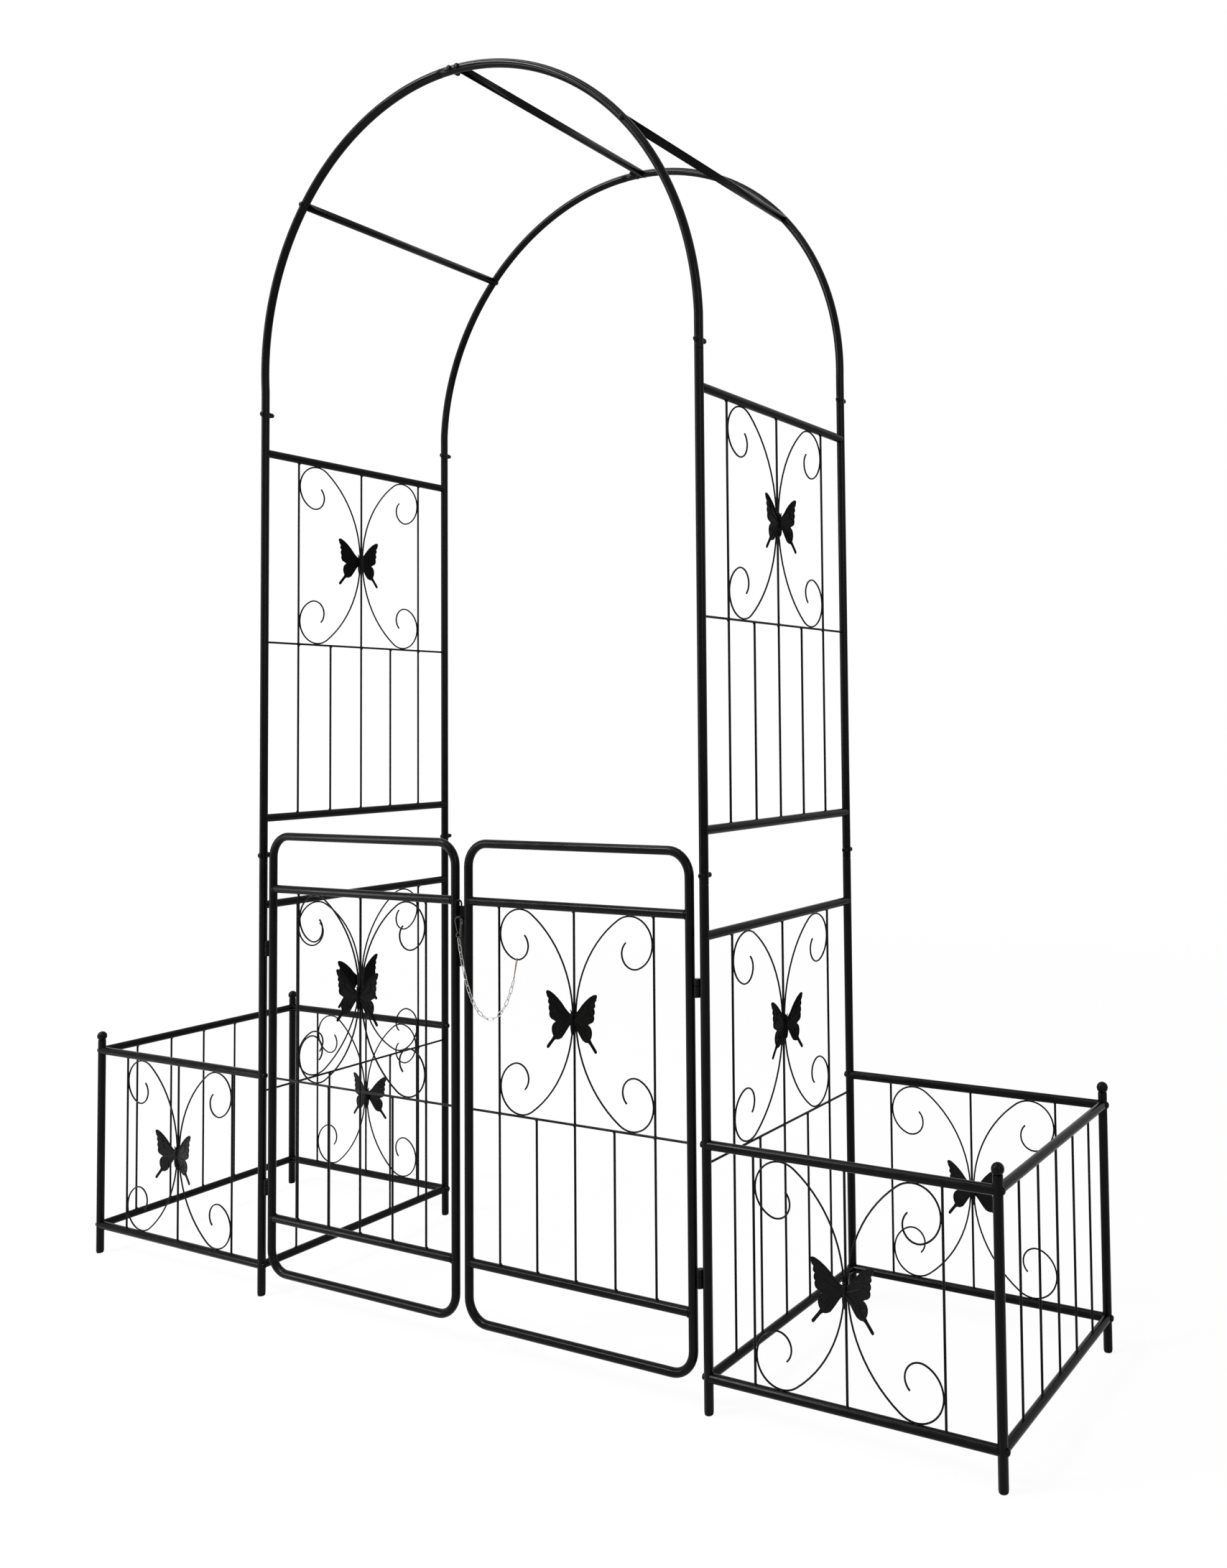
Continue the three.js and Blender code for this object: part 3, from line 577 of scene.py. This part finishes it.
# The bare quarter stands on the right, halfway between the front and the back.
def quarter(name, turn, outwards, screws, through):
    begin(name)
    shank = spring_line - hoop_seam - seat
    bent_rod(tube, round_sides, (post_x, hoop_seam + seat), 90, [(shank,), (turn, post_x, hoop_steps)])
    bpy.ops.mesh.bevel(offset=edge_drop, segments=2)
    build_up([(neck, 0), (neck, lining)], round_sides, (post_x, 0, hoop_seam + lining_rise))
    screw_head((post_x, 0, hoop_seam + screw_above_seam), (0, -1, 0))
    nut((post_x, 0, hoop_seam + screw_above_seam), (0, 1, 0))
    for angle in through:
        screw_head(on_hoop(angle), (0, outwards, 0))
        nut(on_hoop(angle), (0, -outwards, 0))
    for angle in screws:
        screw_head(on_hoop(angle), (0, outwards, 0))
    end()
    piece = bpy.context.active_object
    for corner in piece.data.vertices:
        corner.co.y += outwards * lean_at(corner.co.z)
    return piece


for face, sy in faces:
    crown_screw = 90 + seam_turn - math.degrees(crown_screw_back / post_x)
    right_turn = 90 + seam_turn - joint_gap_turn
    right = quarter("right", right_turn, sy, (crossbar_angle, top_bar_angle), (crown_screw,))
    left = quarter("left", 90 - seam_turn, sy, (crossbar_angle,), ())
    for side, pattern in (("right", right), ("left", left)):
        hoop = copy_to(pattern, f"arch_tube_{face}_{side}", (0, sy * post_y, 0), mirror=side == "left")
        dress(hoop, powder_coat, "paint", "arch", f"hoop_{face}_{side}")
    scrap(right, left)

# Crossbars
# Three straight tubes between the front and back hoops, their ends hollowed to sit on them.
crossbar = 0.0075
for name, angle, hand in (
    ("right", crossbar_angle, 1),
    ("left", crossbar_angle, -1),
    ("top", top_bar_angle, 1),
):
    x, _, z = on_hoop(angle)
    reach = post_y + lean_at(z)
    begin("crossbar")
    build_up([(crossbar, -reach), (crossbar, reach)], round_sides, (x, 0, z), (0, 1, 0))
    end()
    piece = bpy.context.active_object
    for face, sy in faces:
        slope = Vector((-math.sin(math.radians(angle)), 0, math.cos(math.radians(angle))))
        slope.y = sy * slope.z * hoop_lean / post_x
        hollow_out(piece, (x, sy * reach, z), slope.normalized())
    brace = copy_to(piece, f"brace_{name}", (0, 0, 0), mirror=hand < 0)
    dress(brace, powder_coat, "paint", "arch", f"crossbar_{name}")
    scrap(piece)

# Hinges
# Two to a leaf: a turned barrel with a pin is welded to the post, and a shorter barrel, welded to the
# stile of the leaf, drops over the pin.
hinge_x = 0.48625
barrel = 0.00595
post_barrel = 0.018
pin = 0.003
hinge_top = 0.029
pin_room = 0.0001
pin_cut = 0.0006
barrel_cut = 0.0006
barrel_edge = 0.0005
hole_rise = 0.0002
hole_close = 0.0003
weld_out = 0.0001
post_weld = (0.0007, 0.0015, 0.0028)
leaf_weld = (0.0007, 0.0015, 0.0026)
weld_aside = 0.0016
post_weld_heights = (0.004, 0.0085, 0.013)
leaf_weld_heights = (0.003, 0.0075)
hinge_feet = (("lower", 0.188), ("upper", 0.632))
begin("hinge_post_half")
build_up(
    [
        (barrel - barrel_cut, 0),
        (barrel, barrel_edge),
        (barrel, post_barrel - barrel_edge),
        (barrel - barrel_cut, post_barrel),
        (pin, post_barrel),
        (pin, hinge_top - pin_cut),
        (pin - pin_cut, hinge_top),
    ]
)
for up in post_weld_heights:
    for aside in (weld_aside, -weld_aside):
        weld_blob(barrel + weld_out, aside, up, post_weld)
end()
post_half = bpy.context.active_object
begin("hinge_leaf_half")
leaf_foot = post_barrel + seat
hole = pin + pin_room
build_up(
    [
        (hole, leaf_foot + hole_rise),
        (barrel - barrel_cut, leaf_foot),
        (barrel, leaf_foot + barrel_edge),
        (barrel, hinge_top - barrel_edge),
        (barrel - barrel_cut, hinge_top),
        (hole, hinge_top),
        (hole, leaf_foot + hole_close),
    ]
)
for up in leaf_weld_heights:
    for aside in (weld_aside, -weld_aside):
        weld_blob(-barrel - weld_out, aside, leaf_foot + up, leaf_weld)
end()
leaf_half = bpy.context.active_object
for side, sx in sides:
    for level, foot in hinge_feet:
        place = (sx * hinge_x, -post_y, foot)
        turn = 0 if sx > 0 else 180
        lower_half = copy_to(post_half, f"hinge_post_{level}_{side}", place, turn)
        dress(lower_half, powder_coat, "paint", "arch", f"hinge_pin_{level}_{side}")
        upper_half = copy_to(leaf_half, f"hinge_leaf_{level}_{side}", place, turn)
        dress(upper_half, powder_coat, "paint", f"leaf_{side}", f"hinge_barrel_{level}_{side}")
scrap(post_half, leaf_half)

# Gate leaves
# A frame bent from two U's of tube that meet halfway up the stiles, with two rails, five bars, a thin
# level bar and a pair of scrolls welded in.
leaf_middle = 0.24375
stile = 0.22875
corner = 0.04
gate_foot = 0.05
gate_top = 0.858
gate_rails = (0.148, 0.759)
gate_level = 0.406
corner_steps = 10
fillet = 0.0014
fillet_out = 0.0006
level_fillet = 0.0006
seam_sink = 0.0008

leaf_bars = begin("leaf_bars")
grille(*gate_rails, gate_level, bar_pitch)
for z, radius in ((gate_rails[0], tube), (gate_rails[1], tube), (gate_level, bar)):
    reach = stile - 0.5 * tube
    build_up([(radius, -reach), (radius, reach)], round_sides, (0, 0, z), (1, 0, 0))
for sx in (-1, 1):
    for z in gate_rails:
        weld_ring(sx * (stile - tube + fillet_out), z, "X", tube - weld_grip, fillet)
    weld_ring(sx * (stile - tube + weld_grip), gate_level, "X", bar, level_fillet)
    weld_ring(sx * stile, (gate_foot + gate_top) / 2, "Z", tube - seam_sink, seam_sink)
scroll_pair(gate_level + bar, gate_rails[1] - tube, bar_pitch)
end()
leaf_frame = begin("leaf_frame")
middle = (gate_foot + gate_top) / 2
upright = middle - gate_foot - corner
level_run = 2 * (stile - corner)
bend = (90, corner, corner_steps)
runs = [(upright,), bend, (level_run,), bend, (2 * upright,), bend, (level_run,), bend, (upright,)]
bent_rod(tube, round_sides, (stile, middle), 90, runs)
bpy.ops.mesh.select_all(action="DESELECT")
bpy.ops.mesh.select_mode(type="FACE")
bpy.ops.object.mode_set(mode="OBJECT")
for face in leaf_frame.data.polygons:
    face.select = len(face.vertices) > 4
bpy.ops.object.mode_set(mode="EDIT")
bpy.ops.mesh.delete(type="ONLY_FACE")
bpy.ops.mesh.select_all(action="SELECT")
bpy.ops.mesh.remove_doubles(threshold=0.00002)
end()
leaf = welded("leaf", leaf_frame, leaf_bars)
for side, sx in sides:
    gate = copy_to(leaf, f"leaf_grille_{side}", (sx * leaf_middle, -post_y, 0))
    dress(gate, powder_coat, "paint", f"leaf_{side}", f"gate_{side}")
scrap(leaf)

# Butterflies
# Pressed from thin sheet: a raised rim, raised veins and a ribbed body. The wings lift in a shallow V,
# flatter on the gate and the sides. One is welded to the middle bar of each pair of scrolls, and
# faces outwards. They share one coat, made in two copies: lighter and glossier on the planter boxes
# as painted light, and less glossy on the rest as painted shade.
wing_reach = 0.0525
wing_height = 0.093
sheet = 0.0012
body_radius = 0.0026
body_out = bar + seat + body_radius
wing_edge = [
    (0.03, 0.060), (0.12, 0.085), (0.25, 0.150), (0.40, 0.250), (0.55, 0.330), (0.70, 0.395),
    (0.84, 0.440), (0.93, 0.455), (0.99, 0.445), (1.00, 0.412), (0.975, 0.382), (0.965, 0.350),
    (0.92, 0.322), (0.905, 0.300), (0.925, 0.272), (0.925, 0.245), (0.895, 0.222), (0.870, 0.208),
    (0.895, 0.180), (0.905, 0.145), (0.890, 0.110), (0.862, 0.088), (0.880, 0.060), (0.878, 0.020),
    (0.85, -0.018), (0.79, -0.045), (0.71, -0.062), (0.635, -0.088), (0.70, -0.106), (0.755, -0.145),
    (0.785, -0.195), (0.785, -0.245), (0.765, -0.295), (0.725, -0.338), (0.79, -0.392), (0.88, -0.452),
    (0.965, -0.510), (0.985, -0.532), (0.972, -0.556), (0.935, -0.566), (0.895, -0.552), (0.80, -0.486),
    (0.70, -0.420), (0.63, -0.395), (0.56, -0.398), (0.50, -0.390), (0.43, -0.368), (0.36, -0.330),
    (0.28, -0.270), (0.20, -0.205), (0.13, -0.150), (0.06, -0.110), (0.03, -0.060),
]
veins = [
    [(0.05, -0.02), (0.18, 0.06), (0.34, 0.145), (0.48, 0.195), (0.58, 0.200), (0.63, 0.165)],
    [(0.63, 0.165), (0.60, 0.115), (0.50, 0.070), (0.34, 0.030), (0.18, -0.005), (0.05, -0.02)],
    [(0.56, 0.200), (0.68, 0.290), (0.80, 0.355), (0.93, 0.410)],
    [(0.61, 0.185), (0.74, 0.245), (0.89, 0.268)],
    [(0.63, 0.150), (0.76, 0.165), (0.87, 0.150)],
    [(0.60, 0.115), (0.72, 0.080), (0.85, 0.035)],
    [(0.34, 0.145), (0.48, 0.245), (0.64, 0.325), (0.80, 0.395)],
    [(0.06, -0.05), (0.24, -0.060), (0.42, -0.078), (0.60, -0.090)],
    [(0.06, -0.06), (0.22, -0.115), (0.36, -0.185), (0.48, -0.215), (0.54, -0.180), (0.42, -0.130)],
    [(0.50, -0.205), (0.62, -0.235), (0.73, -0.215)],
    [(0.46, -0.215), (0.54, -0.295), (0.68, -0.365), (0.82, -0.460), (0.93, -0.535)],
    [(0.38, -0.195), (0.36, -0.270), (0.42, -0.365)],
]
bosses = [
    (0.950, 0.415), (0.885, 0.258), (0.860, 0.150), (0.835, 0.030), (0.720, -0.190), (0.715, -0.290),
]
vein = 0.0009
boss = (0.0019, 0.0013, 0.0019)
boss_forward = -0.0002
rim_width = 0.0010
rim_rise = 0.0003
slope_width = 0.0006
field_sink = 0.0009
body_ribs = 8
rib_pitch = 0.0027
tail_height = -0.0249
tail_girth = 0.0021
waist_swell = 0.0018
raised_lift = 8
flat_lift = 3


def wing():
    bpy.ops.mesh.primitive_circle_add(vertices=len(wing_edge), radius=wing_reach, fill_type="NGON")
    bpy.ops.object.mode_set(mode="OBJECT")
    plate = bpy.context.active_object
    corners = [v for v in plate.data.vertices if v.select]
    for corner, (x, z) in zip(corners, wing_edge):
        corner.co = (x * wing_reach, sheet / 2, z * wing_height)
    bpy.ops.object.mode_set(mode="EDIT")
    bpy.ops.mesh.extrude_region_move(TRANSFORM_OT_translate={"value": (0, -sheet, 0)})
    bpy.ops.mesh.inset(thickness=rim_width, depth=-rim_rise)
    bpy.ops.mesh.inset(thickness=slope_width, depth=field_sink)
    for line in veins:
        for (x0, z0), (x1, z1) in zip(line, line[1:]):
            from_x, from_z = x0 * wing_reach, z0 * wing_height
            along_x, along_z = (x1 - x0) * wing_reach, (z1 - z0) * wing_height
            length = math.hypot(along_x, along_z)
            heading = math.degrees(math.atan2(along_z, along_x))
            bent_rod(vein, wire_sides, (from_x, from_z), heading, [(length,)])
            weld_blob(from_x, 0, from_z, (vein, vein, vein))
    for x, z in bosses:
        weld_blob(x * wing_reach, boss_forward, z * wing_height, boss)


# The body tapers to its tail in soft rings. Each pair is a radius and a height.
body_rings = [(0.0008, -0.0275), (0.0016, -0.0262)]
for rib in range(body_ribs):
    height = tail_height + rib * rib_pitch
    girth = tail_girth + waist_swell * math.sin(math.pi * (rib + 1) / 10)
    body_rings += [(girth * 0.86, height), (girth, height + 0.0009), (girth, height + 0.0018)]
body_rings += [(0.0029, -0.0030), (0.0043, -0.0008), (0.0044, 0.0042), (0.0027, 0.0068)]
body_rings += [(0.0030, 0.0080), (0.0031, 0.0100), (0.0020, 0.0115), (0, 0.0120)]
feeler = [(0.0008, 0), (0.0007, 0.0024), (0.0012, 0.0032), (0.0010, 0.0042)]
brow_half = 0.0012
brow_forward = -0.0004
brow_height = 0.0098
feeler_lean = (0.55, -0.15, 0.85)


def butterfly(lift):
    begin("half_wings")
    wing()
    bpy.ops.mesh.select_all(action="SELECT")
    bpy.ops.mesh.normals_make_consistent(inside=False)
    bpy.ops.object.mode_set(mode="OBJECT")
    half = bpy.context.active_object
    half.rotation_euler.z = math.radians(-lift)
    bpy.ops.object.transform_apply(location=True, rotation=True, scale=True)
    other_half = copy_to(half, "other_half", (0, 0, 0), mirror=True)
    thorax = begin("thorax")
    build_up(body_rings, rod_sides)
    for hand in (-1, 1):
        brow = (hand * brow_half, brow_forward, brow_height)
        lean = Vector((hand * feeler_lean[0], *feeler_lean[1:])).normalized()
        build_up(feeler, wire_sides, brow, lean)
    end(round_angle)
    insect = welded("butterfly", thorax, half, other_half)
    insect.location = (0, -body_out, 0)
    bpy.ops.object.transform_apply(location=True, rotation=True, scale=True)
    return insect


raised = butterfly(raised_lift)
flatter = butterfly(flat_lift)
# One coat in two copies: the lighter, glossier one is painted light, the duller one is painted shade.
lit_pressed_black = ((0.0030, 0.0029, 0.0028), (0.0050, 0.0048, 0.0046))
lit_pressed_coat = coat("lit_pressed_coat", lit_pressed_black, rough=(0.22, 0.34), peel=0.3, shine=0.065)
shaded_pressed_coat = coat("shaded_pressed_coat", coat_black, rough=(0.22, 0.34), peel=0.3, shine=0.022)
gate_room = (gate_level + bar + gate_rails[1] - tube) / 2
box_room = (rail_low + planter_top) / 2
lower_room = (lower_level + bar + lower_rails[1] - tube) / 2
upper_room = (upper_level + bar + upper_rails[1] - tube) / 2
for side, sx in sides:
    settings = [
        (f"gate_{side}", f"leaf_{side}", (sx * leaf_middle, -post_y, gate_room), 0),
        (f"lower_{side}", "arch", (sx * post_x, 0, lower_room), sx * 90),
        (f"upper_{side}", "arch", (sx * post_x, 0, upper_room), sx * 90),
    ]
    for face, sy in faces:
        place = (sx * (post_x + planter_width / 2), sy * post_y, box_room)
        settings.append((f"planter_{face}_{side}", "arch", place, 180 if sy > 0 else 0))
    for name, body, place, turn in settings:
        # The planter butterflies take the painted-light copy of the coat, the others the painted-shade
        # copy.
        pattern, finish = (raised, lit_pressed_coat) if name.startswith("planter") else (flatter, shaded_pressed_coat)
        insect = copy_to(pattern, f"pressed_{name}", place, turn)
        dress(insect, finish, "stamped", body, f"butterfly_{name}")
scrap(raised, flatter)

# Stop strip
# A flat steel strip, tacked to the right leaf, that closes most of the gap between the leaves.
strip_edge = 0.0006
tack_size = (0.0005, 0.0014, 0.0040)
low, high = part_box("stop_strip")
strip = begin("gap_strip")
bpy.ops.mesh.primitive_cube_add(size=1, location=(low + high) / 2, scale=high - low)
bpy.ops.mesh.bevel(offset=strip_edge, segments=2)
for share in (0.08, 0.5, 0.92):
    tack = low.z + share * (high.z - low.z)
    weld_blob(high.x - weld_grip, -post_y, tack, tack_size)
end()
dress(strip, powder_coat, "paint", "leaf_right", "stop_strip")

# Latch eye
# An upright oval ring of wire, welded to the front of the left leaf where the leaves meet.
low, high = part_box("latch_eye")
ring_bend = (high.x - low.x) / 2 - wire
ring_side = (high.z - low.z) - (high.x - low.x)
ring_weld = (0.0011, 0.0011, 0.0036)
ring_weld_in = 0.0003
ring_weld_back = 0.0012
ring_weld_pitch = 0.007
ring_steps = 12


# A closed loop of wire: two straight sides and two half turns.
def wire_loop(radius, corners, x, z, bend, side, depth, steps):
    runs = [(side / 2,), (180, bend, steps), (side,), (180, bend, steps), (side / 2,)]
    bent_rod(radius, corners, (x + bend, z), 90, runs, depth)
    bpy.ops.object.mode_set(mode="OBJECT")
    for face in bpy.context.active_object.data.polygons:
        face.select = len(face.vertices) > 4
    bpy.ops.object.mode_set(mode="EDIT")
    bpy.ops.mesh.select_mode(type="FACE")
    bpy.ops.mesh.delete(type="ONLY_FACE")
    bpy.ops.mesh.select_all(action="SELECT")
    bpy.ops.mesh.remove_doubles(threshold=0.00002)


centre = (low + high) / 2
eye_ring = begin("eye_ring")
wire_loop(wire, rod_sides, centre.x, centre.z, ring_bend, ring_side, centre.y, ring_steps)
for up in (-ring_weld_pitch, 0, ring_weld_pitch):
    weld_blob(low.x + ring_weld_in, centre.y + ring_weld_back, centre.z + up, ring_weld)
end()
dress(eye_ring, powder_coat, "paint", "leaf_left", "latch_eye")

# Clips
# Each is one bent spring wire: a hook with a free tip, a long shank and a loop for the chain. The left
# one is zinc plated and hangs in the latch eye, the right one has yellowed nickel and hangs in a curl.
clip_wire = 0.0007
clip_bend = 0.0061
clip_length = 0.038
clip_foot = -0.0106
tip_run = 0.0045
front_run = 0.0198
back_run = 0.0178
loop_bend = 0.0035
nip = (-67, 0.0014, 4)
tip_bead = (0.0012, 0.0008, 0.0024)
tip_bead_in = 0.0004
tip_bead_drop = 0.0006
haze_scale = 420
haze_share = 0.72
haze_stops = (0.3, 0.65)
plating_metal = 0.9


# Plating: metal under a thin haze, with a fine drift in colour and gloss.
def plated(name, colour, rough):
    hazed = [part * haze_share for part in colour]
    material = clouded(name, haze_scale, 3, haze_stops, (hazed, colour), (0, 1), rough)
    material.node_tree.nodes["Principled BSDF"].inputs["Metallic"].default_value = plating_metal
    return material


dull_zinc = plated("dull_zinc", (0.10, 0.10, 0.096), (0.25, 0.40))
nickel_plate = plated("nickel_plate", (0.24, 0.185, 0.115), (0.20, 0.38))
clip_pattern = begin("clip_pattern")
runs = [(tip_run,), (180, clip_bend, 16), (12, 0.008, 2), (front_run,)]
runs += [nip, (290, loop_bend, 20), nip, (back_run,)]
bent_rod(clip_wire, wire_sides, (clip_bend, clip_foot), 90, runs)
weld_blob(clip_bend - tip_bead_in, 0, clip_foot - tip_bead_drop, tip_bead)
end()
link_wire = 0.00075


# Turns the clip about its own length, leans it the way it hangs, and gives the place of the chain.
def hang(name, place, turn, right, forward):
    drop = math.sqrt(clip_length**2 - right**2 - forward**2)
    down = Vector((right, -forward, -drop)).normalized()
    clip = copy_to(clip_pattern, name, (0, 0, 0), turn)
    lean = Vector((0, 0, -1)).rotation_difference(down)
    clip.data.transform(Matrix.Translation(place) @ lean.to_matrix().to_4x4())
    end_seat = clip_wire + link_wire + seat
    return clip, Vector(place) + down * (clip_length - end_seat)


eye_foot = low.z + wire
on_wire = wire + seat + clip_wire
left_hook = (centre.x, centre.y, eye_foot + on_wire)
slip = curl_radius - eye_radius
room_rise = (gate_rails[1] - tube - gate_level - bar) / 2 - wire + weld_sink
touch = bar + wire - weld_sink
eye_turn = math.radians(eye_start)
curl_x = leaf_middle - touch - (2 * bar_pitch - 2 * touch - curl_radius + slip * math.cos(eye_turn))
curl_z = gate_room + room_rise - curl_radius - slip * math.sin(eye_turn) - eye_radius
right_hook = (curl_x, -post_y, curl_z + on_wire)
left_clip, chain_start = hang("spring_clip_left", left_hook, turn=40, right=0.0066, forward=0.007)
right_clip, chain_end = hang("spring_clip_right", right_hook, turn=-58, right=-0.003, forward=0.006)
dress(left_clip, dull_zinc, "zinc", "leaf_left", "clip_left")
dress(right_clip, nickel_plate, "nickel", "leaf_left", "clip_right")
scrap(clip_pattern)

# Chain
# Twenty-one oval links of bent wire, butt welded and zinc plated, each turned across the one before.
# They follow the curve that a loose chain takes between the two clips, found by halving.
links = 21
link_pitch = 0.0117
link_width = 0.0065
link_bed = 0.00025
link_steps = 6
halvings = 60
link_half = (link_pitch + 2 * link_wire - link_bed) / 2
across = Vector((chain_end.x - chain_start.x, chain_end.y - chain_start.y, 0))
span = across.length
across.normalize()
fall = chain_end.z - chain_start.z
length = 2 * link_half + (links - 1) * link_pitch
slack = math.sqrt(length**2 - fall**2)
tight, loose = span / links, span * links
for _ in range(halvings):
    guess = (tight + loose) / 2
    if 2 * guess * math.sinh(span / (2 * guess)) > slack:
        tight = guess
    else:
        loose = guess
lowest_x = span / 2 - loose * math.asinh(fall / slack)
link_pattern = begin("link_pattern")
link_bend = link_width / 2 - link_wire
link_side = 2 * link_half + 2 * link_wire - link_width
wire_loop(link_wire, wire_sides, 0, 0, link_bend, link_side, 0, link_steps)
end()
ring_chain = []
for i in range(links):
    slope = math.sinh(-lowest_x / loose) + (link_half + i * link_pitch) / loose
    x = lowest_x + loose * math.asinh(slope)
    z = chain_start.z + loose * (math.cosh((x - lowest_x) / loose) - math.cosh(lowest_x / loose))
    along = Vector((across.x, across.y, slope)).normalized()
    turn = Quaternion(along, math.radians(90 if i % 2 else 0))
    side_way = turn @ Vector((0, 0, 1)).cross(across)
    facing = along.cross(side_way)
    link = copy_to(link_pattern, f"link_{i}", (0, 0, 0))
    turned = Matrix((side_way, facing, along)).transposed().to_4x4()
    place = (chain_start.x + across.x * x, chain_start.y + across.y * x, z)
    link.data.transform(Matrix.Translation(place) @ turned)
    ring_chain.append(link)
scrap(link_pattern)
safety_chain = welded("safety_chain", *ring_chain)
zinc_plate = plated("zinc_plate", (0.44, 0.44, 0.43), (0.22, 0.42))
dress(safety_chain, zinc_plate, "zinc", "leaf_left", "chain")

# Floor and light
# A plain white floor that fades into a white surround. A square lamp and three long strips light it,
# and the strips draw the thin bright lines along the tubes.
floor_size = 60
floor_drop = 0.0002
paper_white = (0.86, 0.86, 0.86, 1)
pure_white = (1, 1, 1, 1)
world_light = 0.45
lamp_aim = (0, 0, 0.9)
bpy.ops.object.select_all(action="DESELECT")
bpy.ops.mesh.primitive_plane_add(size=floor_size, location=(0, 0, -floor_drop))
floor = bpy.context.active_object
floor.name = "floor"
paper = bpy.data.materials.new("floor_white")
paper.use_nodes = True
nodes = paper.node_tree.nodes
wires = paper.node_tree.links
shader = nodes["Principled BSDF"]
shader.inputs["Base Color"].default_value = paper_white
shader.inputs["Roughness"].default_value = 0.9
shader.inputs["Specular IOR Level"].default_value = 0.1
glow = nodes.new("ShaderNodeEmission")
glow.inputs["Color"].default_value = pure_white
glow.inputs["Strength"].default_value = 1
rays = nodes.new("ShaderNodeLightPath")
where = nodes.new("ShaderNodeTexCoord")
reach = nodes.new("ShaderNodeVectorMath")
reach.operation = "LENGTH"
wires.new(where.outputs["Object"], reach.inputs[0])
fade = nodes.new("ShaderNodeMapRange")
for socket, value in (("From Min", 1.2), ("From Max", 5), ("To Min", 0.93), ("To Max", 1)):
    fade.inputs[socket].default_value = value
wires.new(reach.outputs["Value"], fade.inputs["Value"])
seen = nodes.new("ShaderNodeMath")
seen.operation = "MULTIPLY"
wires.new(fade.outputs["Result"], seen.inputs[1])
wires.new(rays.outputs["Is Camera Ray"], seen.inputs[0])
blend = nodes.new("ShaderNodeMixShader")
wires.new(seen.outputs[0], blend.inputs["Fac"])
wires.new(shader.outputs["BSDF"], blend.inputs[1])
wires.new(glow.outputs["Emission"], blend.inputs[2])
wires.new(blend.outputs["Shader"], nodes["Material Output"].inputs["Surface"])
floor.data.materials.append(paper)

world = bpy.data.worlds.new("surround")
bpy.context.scene.world = world
world.use_nodes = True
nodes = world.node_tree.nodes
wires = world.node_tree.links
lit = nodes["Background"]
lit.inputs["Color"].default_value = pure_white
lit.inputs["Strength"].default_value = world_light
white = nodes.new("ShaderNodeBackground")
white.inputs["Color"].default_value = pure_white
white.inputs["Strength"].default_value = 1
rays = nodes.new("ShaderNodeLightPath")
first = nodes.new("ShaderNodeMath")
first.operation = "MAXIMUM"
wires.new(rays.outputs["Is Camera Ray"], first.inputs[0])
wires.new(rays.outputs["Is Glossy Ray"], first.inputs[1])
second = nodes.new("ShaderNodeMath")
second.operation = "MAXIMUM"
wires.new(first.outputs[0], second.inputs[0])
wires.new(rays.outputs["Is Transmission Ray"], second.inputs[1])
pick = nodes.new("ShaderNodeMixShader")
wires.new(second.outputs[0], pick.inputs["Fac"])
wires.new(lit.outputs["Background"], pick.inputs[1])
wires.new(white.outputs["Background"], pick.inputs[2])
wires.new(pick.outputs["Shader"], nodes["World Output"].inputs["Surface"])

for name, place, width, height, power in (
    ("key", (-2.6, -3.4, 4.2), 1.2, 1.2, 190),
    ("fill", (4.2, -2.4, 2.6), 0.5, 2.4, 45),
    ("top", (-1.6, -2.0, 7.0), 7.0, 1.2, 230),
    ("side", (-2.9, -2.6, 1.6), 0.4, 2.8, 60),
):
    bpy.ops.object.light_add(type="AREA", location=place)
    lamp = bpy.context.active_object
    lamp.name = name
    lamp.data.shape = "RECTANGLE"
    lamp.data.size = width
    lamp.data.size_y = height
    lamp.data.energy = power
    aim = Vector(lamp_aim) - Vector(place)
    lamp.rotation_euler = aim.to_track_quat("-Z", "Y").to_euler()

# Camera
# To the right of the gates and about as high as they are, as the photograph was taken.
bpy.ops.object.camera_add(location=(1.70463, -2.05764, 1.04921))
camera = bpy.context.active_object
camera.name = "camera"
camera.rotation_euler = [math.radians(turn) for turn in (92.6046, 0.7869, 28.4384)]
camera.data.sensor_fit = "VERTICAL"
camera.data.sensor_height = 36
camera.data.lens = 31.806
camera.data.shift_x = -0.135597
camera.data.shift_y = -0.076332
camera.data.clip_end = 100
bpy.context.scene.camera = camera
bpy.context.scene.view_settings.view_transform = "Standard"
